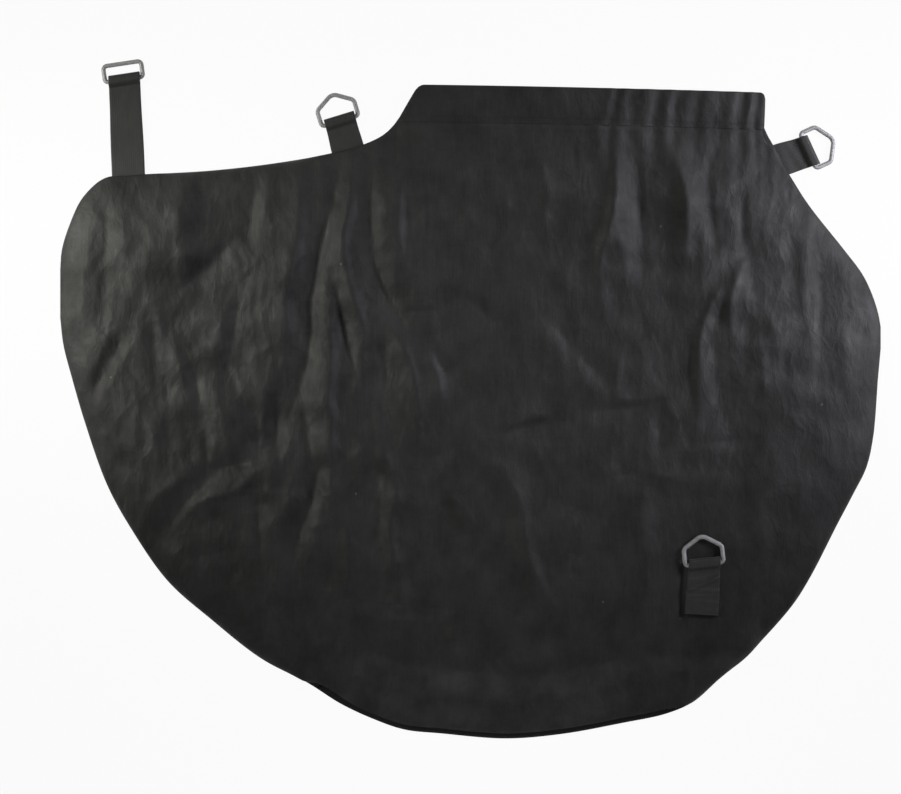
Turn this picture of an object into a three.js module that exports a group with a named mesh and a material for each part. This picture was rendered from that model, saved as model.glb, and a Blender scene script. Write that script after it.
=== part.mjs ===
// Leaf vacuum collection bag, empty and lying flat, in millimetres, +X right, +Y towards the mouth, +Z up
import * as THREE from 'three';
import { ParametricGeometry } from 'three/addons/geometries/ParametricGeometry.js';

// Cloth, webbing and clearances
const CLOTH = 0.8;              // thickness of the woven panels and hems
const WEBBING = 1.3;            // thickness of one ply of webbing
const WEBBING_WIDTH = 30;
const WEBBING_PINCH = 0.7;      // how much each edge of the webbing draws in at its ring
const GAP = 0.3;                // clearance between pieces that touch
const PLY_STEP = CLOTH + GAP;   // from the middle of one cloth layer to the middle of the next
const CREASE_REACH = 2.4;       // half width of a small crease across the front webbing

// Panels, seen from above
const BAG_WIDTH = 745.5;
const BAG_HEIGHT = 594;
const LOFT = 19;                // how far the slack front panel stands over the seam
const EDGE_ROUNDING = 26;       // distance over which the front panel rises from its seam
const COLUMN_STEP = 12.5;       // widest spacing of the panel's grid across the bag
const MIDDLE_ROWS = 17;         // grid rows between the two edges of the front panel
const CORNER_STEP = 2.5;        // first grid column beside each end of the hem
const RIM_COLUMNS = [0, 1.5, 5, 12, 22];  // distances of the outermost columns from each side
const RIM_MARGIN = 34;          // distance from each side at which the even columns begin
const RIM_ROWS = [0, 6, 16];    // distances from the bottom edge at which the front grid has a row
const TOP_ROW = 5;              // distance of the last row but one from the top edge
const HEM_TOP_ROW = 0.8;        // the same, in the columns beside the hem
const FALL_ROW = 14;            // height of the grid rows in which the front panel falls to the hem

// Mouth: a straight opening at the top right, with a doubled hem around an elastic strip
const MOUTH_WIDTH = 315;
const MOUTH_MIDDLE = 110.2;
const MOUTH_LEFT_Y = 285.9;
const MOUTH_DROP = 7.3;         // the right corner lies this much lower than the left one
const MOUTH_RISE = 11;          // how far the front hem stands open in the middle
const MOUTH_FLATNESS = 0.7;     // under 1 makes the open mouth fuller towards its ends
const MOUTH_REACH = 40;         // how far below the hem the front panel follows its level
const HEM_HEIGHT = 34;
const HEM_SLANT = 19.7;         // the left end of the hem leans in by this much
const HEM_RIGHT_SLANT = -1.2;   // and its right end out by this much
const HEM_OVERLAP = 9;          // how far the panel reaches up between the two plies of the hem
const ELASTIC_WIDTH = 20;
const ELASTIC = 0.8;
const GATHERS = 12;             // puckers along the right half of the hem
const GATHERED_WIDTH = 149;
const GATHER_HEIGHT = 1.5;

// Webbing loops and their rings
const STRAP_INSERT = 12;        // length of webbing caught in the seam
const NECK_STRAP_FROM_HEM = 44.4;   // distance of the loop's middle from the hem's left end
const SIDE_STRAP_FROM_HEM = 15.3;   // and from its right end
const LONG_STRAP_LENGTH = 87;
const NECK_STRAP_LENGTH = 26.6;
const SIDE_STRAP_LENGTH = 25.9;
const FRONT_STRAP_LENGTH = 46;
const D_RING_WIRE = 4;
const D_RING_LEG = 15;
const D_RING_HEIGHT = 24.6;
const D_RING_POINT = 1.4;       // how far beyond the ring's top its two slanted sides would meet
const D_RING_BENDS = { bar: 3.2, shoulder: 5, top: 8 };
const LONG_RING_WIRE = 4;
const LONG_RING_HEIGHT = 14.9;
const LONG_RING_BENDS = { bar: 3, top: 3.6 };
const RING_SIDES = 8;
const RING_SIDE_CLEARANCE = 0.4;
const FRONT_PATCH_Z = 17;       // level of the front panel under the loop sewn on its face
const FRONT_PATCH_ABOVE = 37;   // distance of that level patch's middle above the strap's raw end
const FRONT_PATCH_WIDTH = 66;
const FRONT_PATCH_HEIGHT = 132;
const FRONT_PATCH_FADE = 24;
const STRAP_SEAT_MARGIN = 9;    // how far the front panel's lift reaches beyond a loop's webbing
const STRAP_SEAT_FADE = 16;

// Zip of the emptying opening, along the bottom edge
const ZIP_LEFT = -140;
const ZIP_RIGHT = 190;
const ZIP_STATIONS = 22;
const ZIP_LIP = 4.2;            // width of the lower tape that shows beyond the front panel
const ZIP_NOTCH = 5;            // extra width of it near the zip's left end
const ZIP_NOTCH_LENGTH = 26;
const ZIP_MARGIN = 0.6;         // from the bag's own edge to the lower tape
const ZIP_HOLD = 0.45;          // share of the front panel's rise that the zip holds down
const ZIP_SEAT = 3;             // least rise of the front panel over the zip
const ZIP_TAPE = 0.6;
const ZIP_TAPE_WIDTH = 11.2;
const ZIP_CHAIN_WIDTH = 5;
const ZIP_CHAIN = 1.6;
const ZIP_SEWN_GAP = 0.7;       // space for stitches between the upper tape and the front panel
const SLIDER_NOSE = 2.5;        // how far the slider reaches ahead of the chain's end
const SLIDER_LENGTH = 9.5;      // and how far over the chain
const SLIDER_WIDTH = 8;
const SLIDER_PLATE = 0.8;
const SLIDER_SEAT = 19;         // radius over which the front panel is lifted by the slider
const SLIDER_SEAT_FADE = 20;
const ARCH_START = 1.5;         // the arch on the slider, measured from the chain's end
const ARCH_LEG = 1.2;
const ARCH_SILL = 0.3;
const ARCH_ROOF = 0.5;
const PULL = 0.9;               // thickness of the pull
const PULL_LENGTH = 21;
const PULL_BAR = 1.9;           // length, along the pull, of the bar that passes through the arch
const PULL_PLAY = 0.6;          // play of that bar in the arch, along the zip
const PULL_SLOT = 2.3;          // length of the slot behind the bar
const PULL_SHOULDER = 1.5;      // length of the full width behind the slot
const PULL_RIM = 1.6;
const PULL_TIP = 3.2;           // radius of the pull's round end
const PULL_HOLE = 1.4;          // radius of the hole in it

// Places below are noted on a bag 745.5 wide and 594 high, and stretch with the bag
const ACROSS = BAG_WIDTH / 745.5;
const UP = BAG_HEIGHT / 594;
const place = (x, y) => new THREE.Vector3(x * ACROSS, y * UP, 0);

const MOUTH_LEFT = (MOUTH_MIDDLE - MOUTH_WIDTH / 2) * ACROSS;
const MOUTH_RIGHT = (MOUTH_MIDDLE + MOUTH_WIDTH / 2) * ACROSS;
const MOUTH_TOP_LEFT = new THREE.Vector3(MOUTH_LEFT, MOUTH_LEFT_Y * UP, 0);
const MOUTH_TOP_RIGHT = new THREE.Vector3(MOUTH_RIGHT, (MOUTH_LEFT_Y - MOUTH_DROP) * UP, 0);
const HEM_LOW_LEFT = new THREE.Vector3(MOUTH_LEFT - HEM_SLANT, MOUTH_TOP_LEFT.y - HEM_HEIGHT, 0);
const HEM_LOW_RIGHT = new THREE.Vector3(MOUTH_RIGHT + HEM_RIGHT_SLANT, MOUTH_TOP_RIGHT.y - HEM_HEIGHT, 0);
const beside = (corner, x, y) => new THREE.Vector3(corner.x + x, corner.y + y, 0);

// Edges of the panels, from left to right; the last points beside the hem keep to its corners
const smooth = (points) => new THREE.CatmullRomCurve3(points, false, 'centripetal');
const LEFT_SHOULDER = smooth([
  ...[
    place(-372.8, 118), place(-371.5, 135), place(-365, 157), place(-352, 184), place(-332, 201),
    place(-311, 203.5), place(-236, 208), place(-179, 214.5), place(-126, 223.7),
  ].filter((point) => point.x < HEM_LOW_LEFT.x - 45),
  beside(HEM_LOW_LEFT, -30, -20.3), beside(HEM_LOW_LEFT, -11, -10.9), HEM_LOW_LEFT,
]);
const RIGHT_SHOULDER = smooth([
  HEM_LOW_RIGHT, beside(HEM_LOW_RIGHT, 7.5, -12.6), beside(HEM_LOW_RIGHT, 23, -40.6),
  ...[
    place(308.6, 175), place(339.5, 136), place(356, 114), place(364.5, 96.5), place(370.5, 78),
    place(372.7, 66),
  ].filter((point) => point.x > HEM_LOW_RIGHT.x + 35),
]);
const BOTTOM_EDGE = smooth([
  place(-372.8, 74), place(-370, 50), place(-362, 19), place(-350, -22), place(-330, -78),
  place(-308, -118), place(-275, -165), place(-236, -199.5), place(-190, -235.5), place(-148, -257.5),
  place(-118, -276.5), place(-88, -290.5), place(-60, -300), place(-27, -303.5), place(32, -308.1),
  place(83, -304), place(138, -294), place(178, -285.5), place(202, -275), place(226, -254),
  place(247, -236.6), place(266, -217.5), place(293.6, -185.5), place(309.5, -160), place(333, -114),
  place(347.7, -86), place(360, -61), place(366.5, -30), place(369.5, 10), place(372.7, 46),
]);

// Main folds of the slack front panel: ridges are positive, valleys negative, in millimetres
const FOLDS = [
  { name: 'left swell', from: [-300, 175], to: [-296, 110], width: 34, height: 4 },
  { name: 'fan dark side', from: [-238, 215], to: [-250, 118], width: 17, height: -4.5 },
  { name: 'fan crest', from: [-205, 160], to: [-285, 76], width: 12, height: 4.5 },
  { name: 'long valley', from: [-146, 205], to: [-164, 45], width: 11, height: -5 },
  { name: 'long valley foot', from: [-164, 45], to: [-188, -50], width: 12, height: -4.5 },
  { name: 'long ridge', from: [-131, 190], to: [-137, 0], width: 11, height: 5.5 },
  { name: 'long ridge foot', from: [-137, 0], to: [-131, -92], width: 14, height: 4 },
  { name: 'wedge valley', from: [-121, 95], to: [-117, 32], width: 9, height: -4 },
  { name: 'wedge ridge', from: [-126, 172], to: [-99, 31], width: 8, height: 3.5 },
  { name: 'shoulder valley', from: [-107, 205], to: [-91, 145], width: 10, height: -4 },
  { name: 'shoulder crease', from: [-91, 130], to: [-64, 80], width: 10, height: -3.5 },
  { name: 'shoulder ridge', from: [-76, 205], to: [-68, 105], width: 11, height: 4 },
  { name: 'centre valley', from: [-20, 190], to: [-8, 40], width: 34, height: -3 },
  { name: 'lower sliver', from: [-84, -52], to: [-68, -180], width: 11, height: 4.5 },
  { name: 'lower cross crease', from: [-112, -194], to: [-50, -190], width: 11, height: -4 },
  { name: 'middle crease left', from: [18, -28], to: [80, -20], width: 10, height: -3.5 },
  { name: 'middle crease right', from: [112, -10], to: [176, -2], width: 10, height: -3.5 },
  { name: 'middle crease slant', from: [82, 62], to: [128, 10], width: 10, height: -3 },
  { name: 'gather ridge', from: [104, 235], to: [128, 204], width: 9, height: 3 },
  { name: 'gather ridge foot', from: [130, 200], to: [140, 92], width: 12, height: 4 },
  { name: 'right ridge', from: [196, 215], to: [227, 92], width: 19, height: 4.5 },
  { name: 'right ridge foot', from: [227, 92], to: [207, 0], width: 17, height: 4 },
  { name: 'right valley', from: [172, 170], to: [184, 20], width: 15, height: -3.5 },
  { name: 'lower streak', from: [36, -73], to: [68, -187], width: 13, height: 4 },
  { name: 'left slant ridge', from: [-278, -100], to: [-173, -55], width: 13, height: 4.5 },
  { name: 'left slant valley', from: [-248, -80], to: [-290, -130], width: 11, height: -4 },
  { name: 'inner slant valley', from: [-141, -69], to: [-182, -137], width: 12, height: -4 },
  { name: 'left rim crease', from: [-323, 50], to: [-346, 4], width: 10, height: -4 },
];

// Heights of the layers where the panels meet
const BACK_Z = CLOTH / 2;
const SEAM_Z = BACK_Z + PLY_STEP;
const BACK_MOUTH_Z = BACK_Z + PLY_STEP;
const FRONT_MOUTH_Z = BACK_MOUTH_Z + 3 * PLY_STEP;
const STRAP_BASE_Z = CLOTH + GAP;
const STRAP_STACK = 2 * WEBBING + GAP;

const clamp01 = (value) => Math.min(1, Math.max(0, value));
const ease = (value) => clamp01(value) ** 2 * (3 - 2 * clamp01(value));
const bell = (value) => Math.exp(-value * value);

// The point of an edge at a given x, found by halving
function edgeAt(curve, x) {
  let low = 0;
  let high = 1;
  for (let step = 0; step < 40; step += 1) {
    const middle = (low + high) / 2;
    if (curve.getPoint(middle).x < x) low = middle;
    else high = middle;
  }
  return curve.getPoint((low + high) / 2);
}

// Distance from a point to the segment between two others
function segmentDistance(x, y, from, to) {
  const dx = to[0] - from[0];
  const dy = to[1] - from[1];
  const along = clamp01(((x - from[0]) * dx + (y - from[1]) * dy) / (dx * dx + dy * dy));
  return Math.hypot(x - from[0] - along * dx, y - from[1] - along * dy);
}

// How far the front panel's lower edge stays back from the bag's own edge, where the zip shows
function lipWidth(x) {
  const inside = ease((x - ZIP_LEFT + 14) / 18) * ease((ZIP_RIGHT + 12 - x) / 30);
  return inside * (ZIP_LIP + ZIP_NOTCH * bell((x - ZIP_LEFT) / ZIP_NOTCH_LENGTH - 1));
}

// Grid columns: close together at the two ends and in the gathers
function columnPlaces() {
  const left = LEFT_SHOULDER.getPoint(0).x;
  const right = RIGHT_SHOULDER.getPoint(1).x;
  const gatherStart = HEM_LOW_RIGHT.x - GATHERED_WIDTH;
  const spread = (from, to, parts) => (
    Array.from({ length: parts }, (_, i) => from + (to - from) * i / parts)
  );
  const count = (from, to, step) => Math.max(1, Math.round((to - from) / step));
  const leftBody = left + RIM_MARGIN;
  const rightBody = right - RIM_MARGIN;
  return {
    shoulderLeft: [
      ...RIM_COLUMNS.map((step) => left + step),
      ...spread(leftBody, HEM_LOW_LEFT.x, count(leftBody, HEM_LOW_LEFT.x, COLUMN_STEP)),
      HEM_LOW_LEFT.x - CORNER_STEP,
    ],
    neck: [
      ...spread(HEM_LOW_LEFT.x, gatherStart, count(HEM_LOW_LEFT.x, gatherStart, COLUMN_STEP)),
      ...spread(gatherStart, HEM_LOW_RIGHT.x, 2 * GATHERS),
      HEM_LOW_RIGHT.x,
    ],
    shoulderRight: [
      HEM_LOW_RIGHT.x + CORNER_STEP,
      ...spread(HEM_LOW_RIGHT.x, rightBody, count(HEM_LOW_RIGHT.x, rightBody, COLUMN_STEP)).slice(1),
      ...RIM_COLUMNS.map((step) => right - step).reverse(),
    ],
  };
}

// Where a grid column crosses the hem: its share of the mouth's width, and the two lines of the hem
function mouthColumn(x, index) {
  const share = clamp01((x - HEM_LOW_LEFT.x) / (HEM_LOW_RIGHT.x - HEM_LOW_LEFT.x));
  const low = HEM_LOW_LEFT.clone().lerp(HEM_LOW_RIGHT, share);
  const top = MOUTH_TOP_LEFT.clone().lerp(MOUTH_TOP_RIGHT, share);
  const up = top.clone().sub(low);
  return { share, low, top, height: up.length(), up: up.normalize(), index };
}

// Height of the front panel's middle at the hem: the mouth stands open, with puckers at its right
function frontMouthZ(column) {
  const open = Math.sin(Math.PI * column.share) ** MOUTH_FLATNESS;
  const start = 1 - GATHERED_WIDTH / (HEM_LOW_RIGHT.x - HEM_LOW_LEFT.x);
  const strength = ease((column.share - start) * 8) * Math.min(1, open * 1.6);
  const uneven = 0.75 + 0.25 * Math.sin(column.share * 47);
  const pucker = (column.index % 2 === 0 ? 1 : -1) * GATHER_HEIGHT * uneven * strength;
  return FRONT_MOUTH_Z + MOUTH_RISE * open + pucker;
}

const COLUMNS = columnPlaces();
const NECK = COLUMNS.neck.map((x, index) => mouthColumn(x, index));

// Each column of a panel: its x, its two ends, and the hem line where it has one
function panelColumns(lip) {
  const bottom = (x) => edgeAt(BOTTOM_EDGE, x).add(new THREE.Vector3(0, lip(x), 0));
  const shoulder = (curve) => (x) => ({ bottom: bottom(x), top: edgeAt(curve, x), mouth: null });
  return [
    ...COLUMNS.shoulderLeft.map(shoulder(LEFT_SHOULDER)),
    ...NECK.map((mouth) => ({ bottom: bottom(mouth.low.x), top: mouth.low, mouth })),
    ...COLUMNS.shoulderRight.map(shoulder(RIGHT_SHOULDER)),
  ];
}

const NO_LIP = () => 0;
const FRONT_COLUMNS = panelColumns(lipWidth);
const BACK_COLUMNS = panelColumns(NO_LIP);

const overlapPoint = (mouth) => mouth.low.clone().addScaledVector(mouth.up, HEM_OVERLAP);

// The sewn edge of the front panel, from the hem's left end round the bag to its right end
const SEAM = [
  overlapPoint(NECK[0]),
  ...FRONT_COLUMNS.filter((column) => column.top.x <= HEM_LOW_LEFT.x).map((column) => column.top).reverse(),
  ...FRONT_COLUMNS.map((column) => column.bottom),
  ...FRONT_COLUMNS.filter((column) => column.top.x >= HEM_LOW_RIGHT.x).map((column) => column.top).reverse(),
  overlapPoint(NECK[NECK.length - 1]),
].map((point) => [point.x, point.y]);

function seamDistance(x, y) {
  let nearest = Infinity;
  for (let i = 1; i < SEAM.length; i += 1) {
    if (Math.abs(SEAM[i][0] - SEAM[i - 1][0]) + Math.abs(SEAM[i][1] - SEAM[i - 1][1]) > 1e-6) {
      nearest = Math.min(nearest, segmentDistance(x, y, SEAM[i - 1], SEAM[i]));
    }
  }
  return nearest;
}

// Webbing loops: where each leaves its seam or is sewn down, which way it points, and its ring
const degrees = THREE.MathUtils.degToRad;
const edgeStrap = (curve, x, heading, length, skew) => {
  const seam = edgeAt(curve, x);
  return {
    seam,
    heading: degrees(heading),
    skew: degrees(skew),
    length: length + STRAP_INSERT,
    start: new THREE.Vector3(-Math.cos(degrees(heading)), -Math.sin(degrees(heading)), 0)
      .multiplyScalar(STRAP_INSERT).add(seam),
    baseZ: STRAP_BASE_Z,
    restZ: 0,
    creases: [],
  };
};
const LONG_STRAP_X = -310.7 * ACROSS;
const NECK_STRAP_X = HEM_LOW_LEFT.x - NECK_STRAP_FROM_HEM;
const SIDE_STRAP_X = HEM_LOW_RIGHT.x + SIDE_STRAP_FROM_HEM;
const STRAPS = {
  long: { ...edgeStrap(LEFT_SHOULDER, LONG_STRAP_X, 92.5, LONG_STRAP_LENGTH, 6), wire: LONG_RING_WIRE },
  neck: { ...edgeStrap(LEFT_SHOULDER, NECK_STRAP_X, 105, NECK_STRAP_LENGTH, 2), wire: D_RING_WIRE },
  side: { ...edgeStrap(RIGHT_SHOULDER, SIDE_STRAP_X, 17.7, SIDE_STRAP_LENGTH, 7), wire: D_RING_WIRE },
  front: {
    start: place(208.7, -194.5),
    heading: degrees(86.8),
    skew: degrees(8.8),
    length: FRONT_STRAP_LENGTH,
    baseZ: FRONT_PATCH_Z + CLOTH / 2 + GAP,
    restZ: FRONT_PATCH_Z + CLOTH / 2 + GAP,
    creases: [{ at: 9, height: 1.1 }, { at: 19, height: 0.7 }, { at: 30, height: 1.3 }],
    wire: D_RING_WIRE,
  },
};
for (const strap of Object.values(STRAPS)) {
  const direction = new THREE.Vector3(Math.cos(strap.heading), Math.sin(strap.heading), 0);
  strap.eye = strap.wire / 2 + GAP;
  strap.bar = strap.start.clone().addScaledVector(direction, strap.length)
    .setZ(strap.restZ + WEBBING + strap.eye);
}

// The zip's centre line follows the bag's bottom edge; offset runs inwards from that edge
const ZIP_CHAIN_OFFSET = ZIP_MARGIN + ZIP_TAPE_WIDTH + GAP + ZIP_CHAIN_WIDTH / 2;
const ZIP_CHAIN_Z = STRAP_BASE_Z + SLIDER_PLATE + GAP + ZIP_CHAIN / 2;
function zipPlace(x, offset) {
  const here = edgeAt(BOTTOM_EDGE, x * ACROSS);
  const ahead = edgeAt(BOTTOM_EDGE, x * ACROSS + 1);
  const angle = Math.atan2(ahead.y - here.y, ahead.x - here.x);
  return {
    point: here.add(new THREE.Vector3(-Math.sin(angle), Math.cos(angle), 0).multiplyScalar(offset)),
    angle,
  };
}

// Places where the front panel is lifted by what is sewn or lies beneath its edge
const SLIDER_PLACE = zipPlace(ZIP_LEFT + PULL_LENGTH / 2, ZIP_CHAIN_OFFSET).point;
const ARCH_TOP = ARCH_SILL + PULL + 2 * GAP + ARCH_ROOF;
const SLIDER_TOP = ZIP_CHAIN_Z + ZIP_CHAIN / 2 + GAP + SLIDER_PLATE + ARCH_TOP;
const SEATS = [
  ...[STRAPS.long, STRAPS.neck, STRAPS.side].map((strap) => ({
    at: strap.seam,
    flat: WEBBING_WIDTH / 2 + STRAP_SEAT_MARGIN,
    fade: STRAP_SEAT_FADE,
    height: STRAP_STACK + GAP,
  })),
  {
    at: SLIDER_PLACE,
    flat: SLIDER_SEAT,
    fade: SLIDER_SEAT_FADE,
    height: SLIDER_TOP + GAP + CLOTH / 2 - SEAM_Z,
  },
];

// 1 over the zip and a little beyond it, fading to 0 across the panel
function nearZip(x, y) {
  const along = ease((x - ZIP_LEFT + 12) / 14) * ease((ZIP_RIGHT + 12 - x) / 14);
  return along * ease((edgeAt(BOTTOM_EDGE, x).y + 62 - y) / 30);
}

function seatHeight(x, y) {
  const seats = SEATS.map(({ at, flat, fade, height }) => (
    height * ease(1 - (Math.hypot(x - at.x, y - at.y) - flat) / fade)
  ));
  return Math.max(ZIP_SEAT * nearZip(x, y), ...seats);
}

const foldHeight = (x, y) => FOLDS.reduce((sum, { from, to, width, height }) => (
  sum + height * bell(segmentDistance(x / ACROSS, y / UP, from, to) / width)
), 0);

// Level ground under the loop and ring that are sewn on the front panel
function patchShare(x, y) {
  const { start } = STRAPS.front;
  const outX = Math.max(0, Math.abs(x - start.x) - FRONT_PATCH_WIDTH / 2);
  const outY = Math.max(0, Math.abs(y - start.y - FRONT_PATCH_ABOVE) - FRONT_PATCH_HEIGHT / 2);
  return ease(1 - Math.hypot(outX, outY) / FRONT_PATCH_FADE);
}

// Height of the front panel's middle: it rises from the seam, carries the folds, and meets the hem
function frontZ(x, y, mouth) {
  const slack = 1 - Math.exp(-seamDistance(x, y) / EDGE_ROUNDING);
  const rise = (LOFT + foldHeight(x, y)) * slack * (1 - ZIP_HOLD * nearZip(x, y));
  const loose = SEAM_Z + Math.hypot(rise, seatHeight(x, y));
  const patched = THREE.MathUtils.lerp(loose, FRONT_PATCH_Z, patchShare(x, y));
  const away = segmentDistance(x, y, [HEM_LOW_LEFT.x, HEM_LOW_LEFT.y], [HEM_LOW_RIGHT.x, HEM_LOW_RIGHT.y]);
  const level = mouth ? frontMouthZ(mouth) : FRONT_MOUTH_Z;
  return THREE.MathUtils.lerp(patched, level, bell(away / MOUTH_REACH));
}

// A sheet of cloth as a closed solid: middle(i, j) gives the point and its offset to the upper side
function sheetSolid(columnCount, rowCount, middle) {
  const slices = columnCount + 2;
  const stacks = 2 * rowCount + 2;
  const skin = (u, v, target) => {
    const slice = Math.round(u * slices);
    const stack = Math.round(v * stacks) % stacks;
    const column = Math.min(columnCount, Math.max(0, slice - 1));
    const upper = stack <= rowCount;
    const row = upper ? stack : 2 * rowCount + 1 - stack;
    const cut = slice === 0 || slice === slices;
    const { point, offset } = middle(column, row);
    target.copy(point).addScaledVector(offset, cut ? 0 : (upper ? 1 : -1));
  };
  return new ParametricGeometry(skin, slices, stacks);
}

// The row points of a panel column, from the bottom edge to the top edge or up into the hem
function rowPoints({ bottom, top, mouth }, rimRows, middleRows) {
  const length = top.y - bottom.y;
  const share = Math.min(1, length / 90);
  const besideHem = Math.min(top.x - HEM_LOW_LEFT.x, HEM_LOW_RIGHT.x - top.x) > -2 * CORNER_STEP;
  const edgeStep = besideHem ? HEM_TOP_ROW : TOP_ROW;
  const low = rimRows.map((step) => bottom.y + step * share);
  const high = [top.y - FALL_ROW * share, mouth ? top.y : top.y - edgeStep * share];
  const first = low[low.length - 1];
  const inner = Array.from({ length: middleRows }, (_, i) => (
    first + (high[0] - FALL_ROW * share - first) * (i + 1) / middleRows
  ));
  const last = mouth ? overlapPoint(mouth) : top.clone();
  return [...[...low, ...inner, ...high].map((y) => new THREE.Vector3(bottom.x, y, 0)), last];
}

const CLOTH_HALF = new THREE.Vector3(0, 0, CLOTH / 2);

function frontPanel() {
  const rows = FRONT_COLUMNS.map((column) => rowPoints(column, RIM_ROWS, MIDDLE_ROWS));
  const heights = rows.map((points, i) => points.map(({ x, y }, j) => {
    const { mouth } = FRONT_COLUMNS[i];
    return mouth && j >= points.length - 2 ? frontMouthZ(mouth) : frontZ(x, y, mouth);
  }));
  return sheetSolid(rows.length - 1, rows[0].length - 1, (i, j) => (
    { point: rows[i][j].clone().setZ(heights[i][j]), offset: CLOTH_HALF }
  ));
}

function backPanel() {
  const kept = BACK_COLUMNS.filter(({ mouth }) => !mouth || keepBackColumn(mouth));
  const rows = kept.map((column) => rowPoints(column, [0], 0));
  return sheetSolid(rows.length - 1, rows[0].length - 1, (i, j) => {
    const inHem = kept[i].mouth && j >= rows[i].length - 2;
    return { point: rows[i][j].clone().setZ(inHem ? BACK_MOUTH_Z : BACK_Z), offset: CLOTH_HALF };
  });
}

// The back of the mouth is smooth, so it needs only every other column of the gathers
function keepBackColumn(mouth) {
  const gatherIndex = mouth.index - (NECK.length - 1 - 2 * GATHERS);
  return gatherIndex <= 0 || gatherIndex % 2 === 0;
}
const BACK_NECK = NECK.filter(keepBackColumn);

// A hem: cloth folded over the mouth's edge, with one ply above the panel and one below
function hem(neck, levelOf) {
  const foldBase = HEM_HEIGHT - PLY_STEP - CLOTH / 2;
  const half = CLOTH / 2;
  const turn = [90, 45, 0, -45, -90].map((angle) => {
    const across = Math.sin(degrees(angle));
    const along = Math.cos(degrees(angle));
    return {
      out: PLY_STEP * across,
      along: foldBase + PLY_STEP * along,
      normal: [half * across, half * along],
    };
  });
  const section = [
    { out: PLY_STEP, along: 0, normal: [half, 0] },
    ...turn,
    { out: -PLY_STEP, along: 0, normal: [-half, 0] },
  ];
  return sheetSolid(neck.length - 1, section.length - 1, (i, j) => {
    const { out, along, normal } = section[j];
    const { low, up, height } = neck[i];
    const point = low.clone().addScaledVector(up, along * height / HEM_HEIGHT).setZ(levelOf(neck[i]) + out);
    return { point, offset: new THREE.Vector3(up.x * normal[1], up.y * normal[1], normal[0]) };
  });
}

// An elastic strip, shut in between the plies of its hem above the panel's edge
function elastic(neck, levelOf) {
  const start = HEM_OVERLAP + (HEM_HEIGHT - HEM_OVERLAP - PLY_STEP - CLOTH - ELASTIC_WIDTH) / 2;
  const offset = new THREE.Vector3(0, 0, ELASTIC / 2);
  return sheetSolid(neck.length - 1, 1, (i, j) => {
    const { low, up, height } = neck[i];
    const along = (start + j * ELASTIC_WIDTH) * height / HEM_HEIGHT;
    return { point: low.clone().addScaledVector(up, along).setZ(levelOf(neck[i])), offset };
  });
}

const backMouthZ = () => BACK_MOUTH_Z;

// A webbing loop: two plies that run flat from the seam and turn round the ring's bar
function strapGeometry({ length, eye, baseZ, restZ, creases, skew }) {
  const drop = baseZ > restZ ? [2, 5, 8, 11, 14].map((step) => STRAP_INSERT + step) : [];
  const lead = 3.4 * eye;
  const marks = [
    0, ...drop, ...creases.flatMap(({ at }) => [at - 4, at - 2, at, at + 2, at + 4]),
    ...[1, 0.8, 0.6, 0.4, 0.2, 0].map((share) => length - share * lead),
  ];
  const stations = [...new Set(marks)].sort((a, b) => a - b);
  const under = (s) => THREE.MathUtils.lerp(baseZ, restZ, ease((s - STRAP_INSERT - 2) / 12));
  const bulge = (s) => creases.reduce((sum, { at, height }) => (
    sum + height * bell((s - at) / CREASE_REACH)
  ), 0);
  const over = (s) => {
    const lifted = restZ + WEBBING + 2 * eye;
    const plain = under(s) + WEBBING + GAP + bulge(s);
    return THREE.MathUtils.lerp(plain, lifted, ease((s - length + lead) / lead));
  };
  const arc = (radius, from, to) => [1, 2, 3, 4, 5, 6, 7].map((step) => {
    const angle = degrees(from + (to - from) * step / 8);
    return [length + radius * Math.cos(angle), restZ + WEBBING + eye + radius * Math.sin(angle)];
  });
  const forward = (height) => stations.map((s) => [s, height(s)]);
  const back = (height) => forward(height).reverse();
  const outline = [
    ...forward(under), ...arc(eye + WEBBING, -90, 90), ...back((s) => over(s) + WEBBING),
    ...forward(over), ...arc(eye, 90, -90), ...back((s) => under(s) + WEBBING),
  ];
  const shape = new THREE.Shape(outline.map(([s, z]) => new THREE.Vector2(s, z)));
  const geometry = new THREE.ExtrudeGeometry(shape, { depth: WEBBING_WIDTH, bevelEnabled: false });
  geometry.translate(0, 0, -WEBBING_WIDTH / 2);
  geometry.rotateX(Math.PI / 2);
  const position = geometry.attributes.position;
  for (let i = 0; i < position.count; i += 1) {
    const near = ease((position.getX(i) - length / 3) / (length / 2));
    const across = position.getY(i) * (1 - near * 2 * WEBBING_PINCH / WEBBING_WIDTH);
    position.setX(i, position.getX(i) - across * near * Math.tan(skew));
    position.setY(i, across);
  }
  return geometry;
}

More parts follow.
